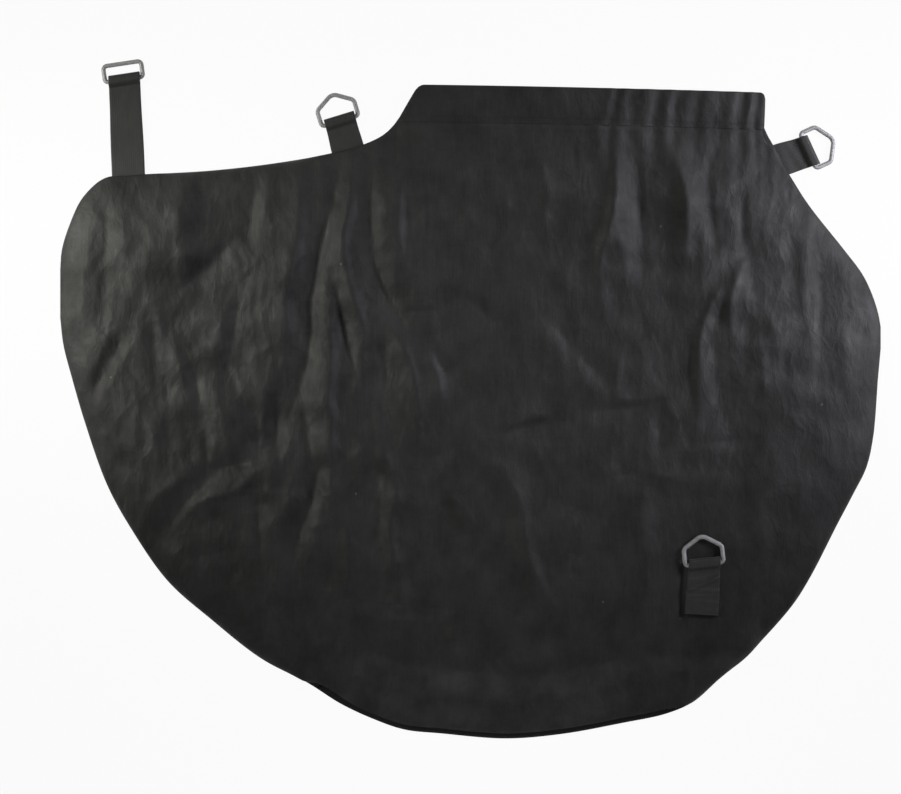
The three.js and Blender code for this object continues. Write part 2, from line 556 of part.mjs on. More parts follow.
// A ring bent from round wire: corners in its own plane, each with its bend radius
function ringGeometry(corners, wire) {
  const path = [];
  corners.forEach(({ at, bend }, index) => {
    const corner = new THREE.Vector2(...at);
    const before = new THREE.Vector2(...corners.at(index - 1).at).sub(corner).normalize();
    const after = new THREE.Vector2(...corners[(index + 1) % corners.length].at).sub(corner).normalize();
    const half = Math.acos(THREE.MathUtils.clamp(before.dot(after), -1, 1)) / 2;
    const inward = before.clone().add(after).normalize();
    const centre = corner.clone().addScaledVector(inward, bend / Math.sin(half));
    const steps = Math.PI - 2 * half > 1.2 ? 4 : 3;
    const start = before.clone().multiplyScalar(bend / Math.tan(half)).add(corner).sub(centre).angle();
    for (let step = 0; step <= steps; step += 1) {
      const angle = start + (Math.PI - 2 * half) * step / steps;
      const out = new THREE.Vector2(Math.cos(angle), Math.sin(angle));
      path.push({ point: centre.clone().addScaledVector(out, bend), out });
    }
  });
  const round = (u, v, target) => {
    const { point, out } = path[Math.round(u * path.length) % path.length];
    const angle = 2 * Math.PI * (Math.round(v * RING_SIDES) % RING_SIDES) / RING_SIDES;
    const reach = wire / 2 * Math.cos(angle);
    target.set(point.x + out.x * reach, point.y + out.y * reach, wire / 2 * Math.sin(angle));
  };
  return new ParametricGeometry(round, path.length, RING_SIDES);
}

function dRing() {
  const half = WEBBING_WIDTH / 2 + RING_SIDE_CLEARANCE + D_RING_WIRE / 2;
  return ringGeometry([
    { at: [-half, 0], bend: D_RING_BENDS.bar },
    { at: [half, 0], bend: D_RING_BENDS.bar },
    { at: [half, D_RING_LEG], bend: D_RING_BENDS.shoulder },
    { at: [0, D_RING_HEIGHT + D_RING_POINT], bend: D_RING_BENDS.top },
    { at: [-half, D_RING_LEG], bend: D_RING_BENDS.shoulder },
  ], D_RING_WIRE);
}

function longRing() {
  const half = WEBBING_WIDTH / 2 + RING_SIDE_CLEARANCE + LONG_RING_WIRE / 2;
  return ringGeometry([
    { at: [-half, 0], bend: LONG_RING_BENDS.bar },
    { at: [half, 0], bend: LONG_RING_BENDS.bar },
    { at: [half, LONG_RING_HEIGHT], bend: LONG_RING_BENDS.top },
    { at: [-half, LONG_RING_HEIGHT], bend: LONG_RING_BENDS.top },
  ], LONG_RING_WIRE);
}

// Stations along the zip, with the point at a given distance from the bag's edge
const ZIP_LINE = Array.from({ length: ZIP_STATIONS + 1 }, (_, i) => (
  ZIP_LEFT + 1 + (ZIP_RIGHT - ZIP_LEFT - 1) * i / ZIP_STATIONS
));
function zipStrip(offsets, thickness, levelOf) {
  const offset = new THREE.Vector3(0, 0, thickness / 2);
  return sheetSolid(ZIP_STATIONS, offsets.length - 1, (i, j) => {
    const { point } = zipPlace(ZIP_LINE[i], offsets[j]);
    return { point: point.setZ(levelOf(point, j)), offset };
  });
}

const LOWER_TAPE_Z = STRAP_BASE_Z + ZIP_TAPE / 2;
function zipTapeLower() {
  const levels = [LOWER_TAPE_Z, LOWER_TAPE_Z, ZIP_CHAIN_Z];
  const offsets = [ZIP_MARGIN, ZIP_MARGIN + ZIP_TAPE_WIDTH / 2, ZIP_MARGIN + ZIP_TAPE_WIDTH];
  return zipStrip(offsets, ZIP_TAPE, (_, j) => levels[j]);
}

function zipChain() {
  const half = ZIP_CHAIN_WIDTH / 2;
  return zipStrip([ZIP_CHAIN_OFFSET - half, ZIP_CHAIN_OFFSET + half], ZIP_CHAIN, () => ZIP_CHAIN_Z);
}

function zipTapeUpper() {
  const start = ZIP_CHAIN_OFFSET + ZIP_CHAIN_WIDTH / 2 + GAP;
  const sewn = ({ x, y }) => frontZ(x, y, null) - CLOTH / 2 - ZIP_SEWN_GAP - ZIP_TAPE / 2;
  const level = (point, j) => (j < 2 ? ZIP_CHAIN_Z : sewn(point));
  return zipStrip([start, start + 3, start + ZIP_TAPE_WIDTH], ZIP_TAPE, level);
}

// The slider's arch, along the zip from the chain's end: the play of the pull's bar sets its eye
const ARCH_EYE = [ARCH_START + ARCH_LEG, ARCH_START + ARCH_LEG + PULL_BAR + 2 * PULL_PLAY];
const ARCH_END = ARCH_EYE[1] + ARCH_LEG;
const PLATE_TOP = ZIP_CHAIN_Z + ZIP_CHAIN / 2 + GAP + SLIDER_PLATE;

// The slider: two plates joined by a post ahead of the chain, with an arch for the pull on top
function zipSlider() {
  const chainTop = ZIP_CHAIN_Z + ZIP_CHAIN / 2 + GAP;
  const chainUnder = ZIP_CHAIN_Z - ZIP_CHAIN / 2 - GAP;
  const archTop = PLATE_TOP + ARCH_TOP;
  const profile = new THREE.Shape([
    [-SLIDER_NOSE, chainUnder - SLIDER_PLATE],
    [SLIDER_LENGTH, chainUnder - SLIDER_PLATE],
    [SLIDER_LENGTH, chainUnder],
    [0, chainUnder],
    [0, chainTop],
    [SLIDER_LENGTH, chainTop],
    [SLIDER_LENGTH, PLATE_TOP],
    [ARCH_END, PLATE_TOP],
    [ARCH_END, archTop - ARCH_ROOF],
    [ARCH_END - ARCH_LEG / 2, archTop],
    [ARCH_START + ARCH_LEG / 2, archTop],
    [ARCH_START, archTop - ARCH_ROOF],
    [ARCH_START, PLATE_TOP],
    [-SLIDER_NOSE, PLATE_TOP],
  ].map(([along, z]) => new THREE.Vector2(along, z)));
  const sill = PLATE_TOP + ARCH_SILL;
  const roof = archTop - ARCH_ROOF;
  profile.holes.push(new THREE.Path(
    [[ARCH_EYE[0], sill], [ARCH_EYE[1], sill], [ARCH_EYE[1], roof], [ARCH_EYE[0], roof]].map(
      ([along, z]) => new THREE.Vector2(along, z),
    ),
  ));
  const geometry = new THREE.ExtrudeGeometry(profile, { depth: SLIDER_WIDTH, bevelEnabled: false });
  geometry.translate(0, 0, -SLIDER_WIDTH / 2);
  geometry.rotateX(Math.PI / 2);
  return geometry;
}

// The pull: a flat tab whose end bar passes through the slider's arch
function zipPull() {
  const half = SLIDER_WIDTH / 2 + GAP;
  const barStart = ARCH_EYE[0] + PULL_PLAY;
  const slotStart = barStart + PULL_BAR;
  const slotEnd = slotStart + PULL_SLOT;
  const shoulder = slotEnd + PULL_SHOULDER;
  const tip = PULL_LENGTH - PULL_TIP;
  const tab = new THREE.Shape();
  tab.moveTo(barStart, -half - PULL_RIM);
  tab.lineTo(shoulder, -half - PULL_RIM);
  tab.lineTo(tip, -PULL_TIP);
  tab.absarc(tip, 0, PULL_TIP, -Math.PI / 2, Math.PI / 2, false);
  tab.lineTo(shoulder, half + PULL_RIM);
  tab.lineTo(barStart, half + PULL_RIM);
  tab.holes.push(new THREE.Path(
    [[slotStart, -half], [slotEnd, -half], [slotEnd, half], [slotStart, half]].map(
      ([x, y]) => new THREE.Vector2(x, y),
    ),
  ));
  const hang = new THREE.Path();
  hang.absarc(tip, 0, PULL_HOLE, 0, 2 * Math.PI, true);
  tab.holes.push(hang);
  const geometry = new THREE.ExtrudeGeometry(tab, { depth: PULL, bevelEnabled: false, curveSegments: 6 });
  geometry.translate(0, 0, PLATE_TOP + ARCH_SILL + GAP);
  return geometry;
}

// Materials
const finish = (color, roughness, metalness = 0) => (
  new THREE.MeshStandardMaterial({ color, roughness, metalness })
);
const NYLON = finish(0x37373a, 0.62);
const NYLON_BACK = finish(0x333336, 0.66);
const BLACK_WEBBING = finish(0x444442, 0.7);
const ELASTIC_TAPE = finish(0x26262a, 0.85);
const GREY_STEEL = finish(0x8c8c8e, 0.38, 1);
const ZIP_CLOTH = finish(0x1d1d20, 0.85);
const ZIP_NYLON = finish(0x222226, 0.45);
const ZIP_METAL = finish(0x3c3c40, 0.4, 1);

function named(name, geometry, material) {
  const mesh = new THREE.Mesh(geometry, material);
  mesh.name = name;
  return mesh;
}

// A strap and its ring: the ring turns about the bar that the webbing wraps
function strapWithRing(name, strap, geometry, height) {
  const group = new THREE.Group();
  const webbing = named(`${name}_strap`, strapGeometry(strap), BLACK_WEBBING);
  webbing.position.copy(strap.start);
  webbing.rotation.z = strap.heading;
  const pivot = new THREE.Group();
  pivot.position.copy(strap.bar);
  pivot.rotation.z = strap.heading - Math.PI / 2 + strap.skew;
  const ring = named(`${name}_ring`, geometry, GREY_STEEL);
  ring.rotation.x = -Math.asin((strap.bar.z - strap.restZ - strap.wire / 2) / height);
  pivot.add(ring);
  group.add(webbing, pivot);
  return group;
}

function zipAssembly() {
  const group = new THREE.Group();
  group.add(
    named('zip_tape_lower', zipTapeLower(), ZIP_CLOTH),
    named('zip_tape_upper', zipTapeUpper(), ZIP_CLOTH),
    named('zip_chain', zipChain(), ZIP_NYLON),
  );
  const start = zipPlace(ZIP_LEFT, ZIP_CHAIN_OFFSET);
  const slider = new THREE.Group();
  slider.position.copy(start.point);
  slider.rotation.z = start.angle;
  slider.add(named('zip_slider', zipSlider(), ZIP_METAL), named('zip_pull', zipPull(), ZIP_METAL));
  group.add(slider);
  return group;
}

const bag = new THREE.Group();
bag.add(
  named('front_panel', frontPanel(), NYLON),
  named('back_panel', backPanel(), NYLON_BACK),
  named('front_hem', hem(NECK, frontMouthZ), NYLON),
  named('back_hem', hem(BACK_NECK, backMouthZ), NYLON_BACK),
  named('front_elastic', elastic(NECK, frontMouthZ), ELASTIC_TAPE),
  named('back_elastic', elastic(BACK_NECK, backMouthZ), ELASTIC_TAPE),
  strapWithRing('long', STRAPS.long, longRing(), LONG_RING_HEIGHT),
  strapWithRing('neck', STRAPS.neck, dRing(), D_RING_HEIGHT),
  strapWithRing('side', STRAPS.side, dRing(), D_RING_HEIGHT),
  strapWithRing('front', STRAPS.front, dRing(), D_RING_HEIGHT),
  zipAssembly(),
);

// The origin is on the surface, under the middle of the whole bag
const whole = new THREE.Box3().setFromObject(bag, true);
const middle = whole.getCenter(new THREE.Vector3());
bag.position.set(-middle.x, -middle.y, -whole.min.z);

export default bag;
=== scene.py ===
"""Looks of an empty leaf vacuum collection bag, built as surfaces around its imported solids.

Shapes are worked out in millimetres, in the row frame, and go into the meshes in metres.
"""

import math

import bpy
import numpy as np
from bpy.props import FloatProperty, FloatVectorProperty, PointerProperty
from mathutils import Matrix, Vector


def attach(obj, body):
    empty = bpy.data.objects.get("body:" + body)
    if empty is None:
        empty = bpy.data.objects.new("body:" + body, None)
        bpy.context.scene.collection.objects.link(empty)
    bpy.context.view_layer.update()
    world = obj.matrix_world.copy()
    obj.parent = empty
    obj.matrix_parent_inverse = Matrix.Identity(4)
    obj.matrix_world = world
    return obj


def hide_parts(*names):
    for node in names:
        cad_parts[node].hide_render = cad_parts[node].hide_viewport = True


bl_info = {
    "name": "Leaf vacuum collection bag",
    "version": (1, 0, 0),
    "blender": (4, 5, 0),
    "location": "3D View > Sidebar > Leaf bag",
    "description": "Builds the woven bag, its webbing loops, rings and zip around the packed solids",
    "category": "Add Mesh",
}

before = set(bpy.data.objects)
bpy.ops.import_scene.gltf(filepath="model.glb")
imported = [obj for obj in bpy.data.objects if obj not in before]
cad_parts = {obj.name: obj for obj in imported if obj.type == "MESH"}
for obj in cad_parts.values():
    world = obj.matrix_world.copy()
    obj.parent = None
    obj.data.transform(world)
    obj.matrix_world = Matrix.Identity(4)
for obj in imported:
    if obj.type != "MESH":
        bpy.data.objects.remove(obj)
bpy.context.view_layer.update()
MM = 0.001

# Cloth, webbing and clearances of the solids
CLOTH = 0.8
WEBBING = 1.3
WEBBING_WIDTH = 30.0
WEBBING_PINCH = 0.7
GAP = 0.3
PLY_STEP = CLOTH + GAP
BACK_Z = CLOTH / 2
SEAM_Z = BACK_Z + PLY_STEP
BACK_MOUTH_Z = BACK_Z + PLY_STEP
FRONT_MOUTH_Z = BACK_MOUTH_Z + 3 * PLY_STEP
EDGE_ROUNDING = 26.0

# The middle of the bag's box, on the drawing that the places below were noted on
DRAWING = np.array([-0.05, 0.501])

# Mouth and hem, on the drawing
MOUTH_LEFT, MOUTH_RIGHT = -47.3, 267.7
HEM_TOP = np.array([[MOUTH_LEFT, 285.9], [MOUTH_RIGHT, 278.6]]) - DRAWING
HEM_LOW = np.array([[MOUTH_LEFT - 19.7, 251.9], [MOUTH_RIGHT - 1.2, 244.6]]) - DRAWING
HEM_HEIGHT = 34.0
HEM_OVERLAP = 9.0
HEM_CORNER = 5.5
GATHER_CRESTS = np.array([96.0, 117.7, 132.3, 155.0, 175.9, 194.0, 211.4, 235.9, 252.3, 265.0, 279.0])
GATHER_HEIGHTS = np.array([0.0, 0.35, 0.6, 0.5, 0.7, 0.35, 0.45, 0.6, 0.55, 0.35, 0.0])
ELASTIC = 0.8
ELASTIC_WIDTH = 20.0
MOUTH_REACH = 40.0

# Zip of the emptying opening, with the step between its teeth, and their width, height and sink
ZIP_LEFT, ZIP_RIGHT = -140.0, 190.0
ZIP_LIP = 5.0
ZIP_NOTCH, ZIP_NOTCH_LENGTH = 3.0, 14.0
ZIP_TAPE = 0.6
ZIP_TAPE_WIDTH = 11.2
ZIP_MARGIN = 0.6
ZIP_CHAIN_WIDTH = 5.0
ZIP_CHAIN_OFFSET = ZIP_MARGIN + ZIP_TAPE_WIDTH + GAP + ZIP_CHAIN_WIDTH / 2
ZIP_CHAIN_Z = 3.0
ZIP_SEAT = 3.0
ZIP_HOLD = 0.45
TOOTH_PITCH = 1.5
TOOTH_SIZE = (1.2, 1.5, 0.3)

# Webbing loops: how far they are sewn in, their wires, the level of the ground under the front one, the
# slack beyond a bar, the step along a loop, where the upper ply starts up to its bar and for how long, the
# room beside the webbing on a bar, and the room between a D ring's round top and the corner of its legs
STRAP_INSERT = 12.0
D_RING = {"wire": 4.0, "leg": 15.0, "height": 24.6, "bends": (3.2, 5.0, 8.0)}
LONG_RING = {"wire": 4.0, "height": 14.9, "bends": (3.0, 3.6)}
FRONT_PATCH_Z = 17.0
LOOP_SLACK = 2.0
LOOP_STEP = 0.8
ROLL_START, ROLL_RISE = 5.6, 4.2
BAR_ROOM = 0.4
PEAK_ROOM = 1.4

# Relief of the front panel: share of the main folds, seed and count of the crumples, the undulations as
# height, seed, count, shortest and longest wave, the depth that hollows ease to, and a crest's softness
FOLD_SHARE = 0.4
CRUMPLE_SEED, CRUMPLE_COUNT = 7, 520
UNDULATIONS = ((1.9, 3, 26, 55, 170), (1.15, 5, 40, 26, 64))
DEEPEST, DEEPEST_EASE = -11.0, 3.0
CREST_SOFTNESS = 0.16

# A crease's height at its first and last point, and the shares of its length on which it gets there
CREASE_START, CREASE_GROWTH = 0.3, 0.4
CREASE_END, CREASE_FALL = 0.65, 0.25

# Crumples: how they crowd to the left, mean and spread of their turn in degrees, and the least and most
# of half their length, their reach and their height, and the spread of their bend
CRUMPLE_CROWDING = 1.35
CRUMPLE_TURN, CRUMPLE_BEND = (90, 28), 0.15
CRUMPLE_HALF, CRUMPLE_REACH, CRUMPLE_HEIGHT = (6, 24), (2.6, 6.5), (0.25, 1.0)

# Bead beside the seam, swell beside the hem's stitches, and dent beside the front loop
BEAD, BEAD_START, BEAD_FADE, BEAD_LOST_AT_ZIP = 2.0, 1.6, 14.0, 0.7
SWELL, SWELL_START, SWELL_FADE = 1.15, 2.0, 24.0
DENT, DENT_REACH = 3.6, 3.6

# Reach and fade of the panel's lift beside a loop's raw end
SEAT_REACH, SEAT_FADE = 9, 16

# Level ground under the front loop: half its size, how far its middle is up the loop, and its fade. Place
# of the zip's slider from the zip's left end, and the lift, reach and fade of the panel over it
PATCH_HALF, PATCH_MIDDLE, PATCH_FADE = (33, 66), 37, 24
SLIDER_PLACE = (10.5, 16.0)
SLIDER_LIFT, SLIDER_REACH, SLIDER_FADE = 6.4, 19, 20

# Hems: how far up them the stitches run, how far their elastic swells them, a stitch's width, height and
# sink, its rise over the cloth, and the length on which the outer ply thins out, with its middle and half
# its thickness at the end
STITCH_ROW = 4.2
FRONT_PUFF, BACK_PUFF = 0.7, 0.2
STITCH_SIZE = (0.55, 0.4, 0.15)
STITCH_RISE = 0.05
SEWN_LENGTH, SEWN_MIDDLE, SEWN_HALF = 6, 0.485, 0.065


def bell(value):
    """1 at 0, falling off on both sides as the exponential of minus the square."""
    return np.exp(-np.square(value))


def ease(value):
    """0 below 0, 1 above 1, and a smooth cubic step between."""
    share = np.clip(value, 0, 1)
    return share * share * (3 - 2 * share)


def mix(low, high, share):
    """The straight blend between two values."""
    return low + (high - low) * share


def edge_line(points, steps=24):
    """Centripetal curve through points: each span is a cubic whose end slopes come from both
    neighbours, weighted by the square roots of the distances between the points."""
    p = np.asarray(points, float) - DRAWING
    p = np.vstack([2 * p[0] - p[1], p, 2 * p[-1] - p[-2]])
    a, b, c, d = p[:-3], p[1:-2], p[2:-1], p[3:]
    ab, bc, cd = (np.sqrt(np.linalg.norm(n - m, axis=1))[:, None] for m, n in ((a, b), (b, c), (c, d)))
    leave = ((b - a) / ab - (c - a) / (ab + bc) + (c - b) / bc) * bc
    arrive = ((c - b) / bc - (d - b) / (bc + cd) + (d - c) / cd) * bc
    t = np.linspace(0, 1, steps, endpoint=False)[None, :, None]
    b, c, leave, arrive = (m[:, None, :] for m in (b, c, leave, arrive))
    line = (
        (2 * t**3 - 3 * t**2 + 1) * b
        + (t**3 - 2 * t**2 + t) * leave
        + (3 * t**2 - 2 * t**3) * c
        + (t**3 - t**2) * arrive
    )
    return np.vstack([line.reshape(-1, 2), p[-2]])


LEFT_SHOULDER = edge_line([
    (-372.8, 118), (-371.5, 135), (-365, 157), (-352, 184), (-332, 201), (-311, 203.5), (-236, 208),
    (-179, 214.5), (-126, 223.7), (-97, 231.6), (-78, 241), (-67, 251.9),
])
RIGHT_SHOULDER = edge_line([
    (266.5, 244.6), (274, 232), (289.5, 204), (308.6, 175), (339.5, 136), (356, 114), (364.5, 96.5),
    (370.5, 78), (372.7, 66),
])
BOTTOM_EDGE = edge_line([
    (-372.8, 74), (-370, 50), (-362, 19), (-350, -22), (-330, -78), (-308, -118), (-275, -165),
    (-236, -199.5), (-190, -235.5), (-148, -257.5), (-118, -276.5), (-88, -290.5), (-60, -300),
    (-27, -303.5), (32, -308.1), (83, -304), (138, -294), (178, -285.5), (202, -275), (226, -254),
    (247, -236.6), (266, -217.5), (293.6, -185.5), (309.5, -160), (333, -114), (347.7, -86),
    (360, -61), (366.5, -30), (369.5, 10), (372.7, 46),
])

# Main folds of the front panel, on the drawing: from x, y, to x, y, half width, height
MAIN_FOLDS = np.array([
    (-300, 175, -296, 110, 34, 4), (-238, 215, -250, 118, 17, -4.5), (-205, 160, -285, 76, 12, 4.5),
    (-146, 205, -164, 45, 11, -5), (-164, 45, -188, -50, 12, -4.5), (-131, 190, -137, 0, 11, 5.5),
    (-137, 0, -131, -92, 14, 4), (-121, 95, -117, 32, 9, -4), (-126, 172, -99, 31, 8, 3.5),
    (-107, 205, -91, 145, 10, -4), (-91, 130, -64, 80, 10, -3.5), (-76, 205, -68, 105, 11, 4),
    (-20, 190, -8, 40, 34, -3), (-84, -52, -68, -180, 11, 4.5), (-112, -194, -50, -190, 11, -4),
    (18, -28, 80, -20, 10, -3.5), (112, -10, 176, -2, 10, -3.5), (82, 62, 128, 10, 10, -3),
    (104, 235, 128, 204, 9, 3), (130, 200, 140, 92, 12, 4), (196, 215, 227, 92, 19, 4.5),
    (227, 92, 207, 0, 17, 4), (172, 170, 184, 20, 15, -3.5), (36, -73, 68, -187, 13, 4),
    (-278, -100, -173, -55, 13, 4.5), (-248, -80, -290, -130, 11, -4), (-141, -69, -182, -137, 12, -4),
    (-323, 50, -346, 4, 10, -4),
])


# Creases of the front panel, on the drawing: x and y of each point of a line from its lower or left end,
# how far it reaches to the left of or above the line, how far to the right of or below it, its height
CREASES = (
    (-350, 45, -351, 100, -344, 177, 7, 8, 2.2), (-333, 50, -331, 118, -330, 177, 9, 9, -2.4),
    (-355, 1, -330, 51, 6, 4, 2.6), (-347, -2, -320, 48, 4, 7, -2.8), (-339, -11, -312, 40, 6, 6, 1.6),
    (-254, 105, -260, 145, -261, 189, 27, 17, 7.5), (-284, 80, -252, 108, -210, 149, 15, 21, -7),
    (-201, 150, -192, 210, 15, 9, -5), (-233, 176, -217, 209, 9, 8, 2.4),
    (-190, 152, -180, 207, 6, 6, 1.8), (-241, 178, -244, 198, 5, 5, -1.6),
    (-273, 152, -280, 190, 8, 8, -1), (-311, 125, -299, 140, 5, 5, -1), (-236, 34, -220, 83, 9, 6, 2.2),
    (-219, 34, -210, 87, 7, 8, -2.2), (-278, 49, -282, 78, 7, 4, 1.8), (-285, 34, -287, 63, 4, 5, -1.6),
    (-255, 0, -262, 30, -268, 54, 7, 4, 2), (-243, -11, -251, 25, 4, 6, -2.2),
    (-293, 7, -311, 30, 6, 6, -1.4), (-210, 1, -217, 25, 5, 4, -1.6), (-271, -8, -279, 25, 4, 5, -1.3),
    (-175, 52, -188, 43, 3, 4, 1.3), (-191, -2, -197, 63, 7, 10, 1.5),
    (-184, -5, -176, 18, -165, 50, -167, 90, -161, 122, -155, 154, -154, 213, 16, 10, 6.5),
    (-162, -8, -152, 20, -144, 54, -143, 90, -137, 127, -127, 168, -118, 213, 14, 9, -7),
    (-97, 23, -96, 61, -104, 90, -113, 122, -114, 150, -107, 183, -107, 220, 12, 5, 4.6),
    (-100, 20, -110, 45, -115, 68, -121, 96, 6, 5, -3.8),
    (-127, -97, -126, -37, -127, 0, -125, 54, -125, 87, 13, 6, 5),
    (-145, -64, -147, -28, -152, 0, 6, 8, -3.4), (-105, 6, -99, 21, 4, 3, 1.6),
    (-87, 125, -91, 213, 8, 4, -2.6), (-68, 107, -64, 149, -63, 213, 14, 7, 3.2),
    (-60, 136, -58, 207, 4, 5, -1.8), (-39, 130, -40, 204, 13, 6, 2.2),
    (-62, 70, -77, 99, -88, 128, 5, 4, -3), (-63, 79, -40, 80, 3, 5, -1.8),
    (-49, -57, -47, -2, -59, 43, -71, 63, 13, 5, 2.6), (-27, -6, -30, 27, -40, 45, 8, 4, 2.4),
    (-77, -2, -79, 58, 7, 8, -2.4), (-17, 18, -35, 39, 4, 5, -1.8), (29, 63, 9, 85, 5, 4, -2),
    (-291, -140, -258, -97, -236, -74, 13, 10, -4.2), (-303, -124, -280, -86, -257, -70, 13, 8, 2.4),
    (-277, -130, -247, -93, -210, -82, -192, -63, 10, 6, 3.4), (-240, -64, -195, -57, 6, 5, -2.2),
    (-217, -57, -220, -28, -227, 0, 8, 9, 2.8), (-193, -51, -194, -13, 9, 5, -2.6),
    (-174, -57, -177, -4, 6, 5, -3), (-186, -39, -187, -4, 5, 4, 1.6),
    (-195, -48, -180, -42, 3, 3, -1.4), (-183, -97, -180, -64, 6, 5, 2.6),
    (-190, -146, -192, -99, 5, 4, -2.6), (-186, -148, -166, -100, -159, -73, -152, -57, 13, 8, 3.8),
    (-165, -161, -154, -120, -143, -91, -136, -62, 9, 7, -4.2), (-124, -93, -129, -73, 4, 5, 1.8),
    (-150, -117, -122, -110, 4, 5, 1.8), (-145, -182, -142, -132, 10, 5, 1.8),
    (-150, -202, -127, -160, 8, 7, -2.8), (-110, -175, -110, -133, 6, 4, 2.2),
    (-253, -62, -255, -33, 5, 6, -1.5), (-237, -64, -240, -22, 5, 4, -1.8),
    (-232, -64, -233, -30, 4, 8, 1.4), (-271, -64, -275, -10, 6, 5, -1.3),
    (-282, -64, -286, -28, 5, 4, 1.2), (-264, -146, -213, -135, 8, 9, -1.8),
    (-210, -128, -206, -102, 4, 5, -1.2), (-337, -46, -320, -11, 5, 5, 1.4),
    (-62, -184, -68, -146, -73, -119, -68, -91, -70, -71, -78, -54, 6, 7, 3.8),
    (-74, -148, -82, -110, -83, -71, 9, 4, -2.2), (-110, -180, -64, -186, -28, -188, 7, 8, 2.8),
    (-119, -193, -64, -201, -31, -202, 8, 14, -3.2), (16, -25, 34, -23, 50, -17, 78, -13, 8, 3, 2),
    (20, -31, 36, -29, 54, -24, 76, -20, 3, 6, -2),
    (73, -188, 63, -169, 52, -141, 47, -110, 45, -91, 37, -77, 8, 5, 2.4),
    (81, -186, 68, -160, 60, -128, 4, 6, -1.6), (7, -120, -9, -97, -21, -81, 6, 4, 1.9),
    (0, -132, -20, -102, 6, 7, -2), (5, -157, 24, -133, 6, 7, -2.4),
    (78, -84, 68, -64, 57, -42, 5, 4, 1.4), (27, -64, 7, -48, 5, 5, 1.2),
    (-41, -55, -19, -46, 5, 6, -1.6), (-113, -59, -95, -43, 4, 4, 1.2),
    (-88, -44, -90, -73, 4, 4, -1.4), (70, 125, 68, 168, 70, 195, 59, 222, 7, 4, 1.8),
    (33, 166, 30, 192, 5, 4, 1.2), (-5, 152, -4, 200, 7, 6, 1.2), (83, 90, 90, 125, 5, 6, 1),
    (130, 10, 113, 26, 84, 57, 7, 5, -1.9), (118, 27, 95, 44, 87, 61, 5, 4, 0.9),
    (130, -2, 133, 36, 4, 4, 1.4), (109, -3, 132, 0, 150, -1, 176, 3, 6, 4, 1.4),
    (109, -9, 130, -8, 148, -8, 164, -3, 4, 6, -1.5), (87, 0, 81, 54, 6, 6, 1),
    (27, 58, 0, 89, 6, 6, -1), (120, 89, 116, 125, 123, 150, 130, 181, 130, 261, 6, 14, 6.5),
    (155, 123, 152, 181, 147, 252, 12, 10, -5), (118, 212, 103, 250, 4, 8, 1.8),
    (136, 125, 134, 161, 4, 5, 1.2), (194, 134, 194, 181, 187, 213, 180, 249, 7, 15, 8),
    (220, 143, 214, 190, 218, 220, 10, 7, -4.2), (208, 90, 209, 145, 6, 8, 1.4),
    (247, 134, 246, 178, 7, 4, -3.4), (239, 48, 233, 86, 245, 121, 6, 10, 4.2),
    (220, 61, 232, 92, 8, 5, -2.2), (205, -6, 205, 45, 211, 72, 220, 92, 4, 8, 3.6),
    (200, -4, 200, 45, 4, 3, -1.8), (256, 90, 252, 127, 6, 7, -2), (229, 189, 249, 203, 6, 7, 1.4),
    (223, -19, 221, 43, 5, 6, -1.4), (266, -2, 263, 43, 4, 7, 1.4), (279, 34, 272, 74, 6, 6, 1.4),
    (296, 90, 290, 145, 8, 8, -1.6), (302, 63, 305, 168, 8, 8, 1.6), (317, 9, 316, 145, 9, 12, -2.4),
    (342, 0, 338, 63, 6, 7, 1.2), (187, -22, 178, -4, 6, 5, 1.4), (172, -55, 170, -20, 6, 6, -2),
    (200, -48, 193, -26, 6, 6, -2), (200, -40, 250, -37, 7, 9, -1.6), (187, -73, 154, -64, 6, 6, 1),
    (129, -70, 154, -65, 4, 5, -1.4), (118, -84, 174, -88, 7, 8, 1), (227, -91, 290, -84, 9, 9, 1),
    (100, -219, 127, -202, 9, 9, -1.2), (268, -170, 292, -181, 4, 6, -2.2),
    (277, -146, 287, -128, 5, 5, 1.2), (301, -148, 314, -139, 4, 4, -1.4),
    (238, -219, 250, -233, 4, 4, -1.6), (81, -93, 104, -99, 6, 7, -1.8),
    (86, -135, 109, -146, 6, 7, -1.8), (81, -160, 95, -146, 5, 5, 1.2),
    (27, -237, 72, -244, 9, 9, -1.4), (63, -264, 118, -251, 10, 10, 1.2), (-37, -219, 9, -213, 9, 9, 1),
    (154, -200, 209, -219, 10, 10, 1), (81, -219, 118, -228, 8, 8, -1),
)


def segment_reach(x, y, start, end):
    """Distance from each point to a straight piece."""
    dx, dy = end[0] - start[0], end[1] - start[1]
    share = np.clip(((x - start[0]) * dx + (y - start[1]) * dy) / (dx * dx + dy * dy), 0, 1)
    return np.hypot(x - start[0] - share * dx, y - start[1] - share * dy)


def fold_height(x, y, folds):
    """Sum of the folds: each is a bell across its line, with round ends."""
    total = np.zeros_like(x)
    for x0, y0, x1, y1, width, height in folds:
        distance = segment_reach(x + DRAWING[0], y + DRAWING[1], (x0, y0), (x1, y1))
        total += height * bell(distance / width)
    return total


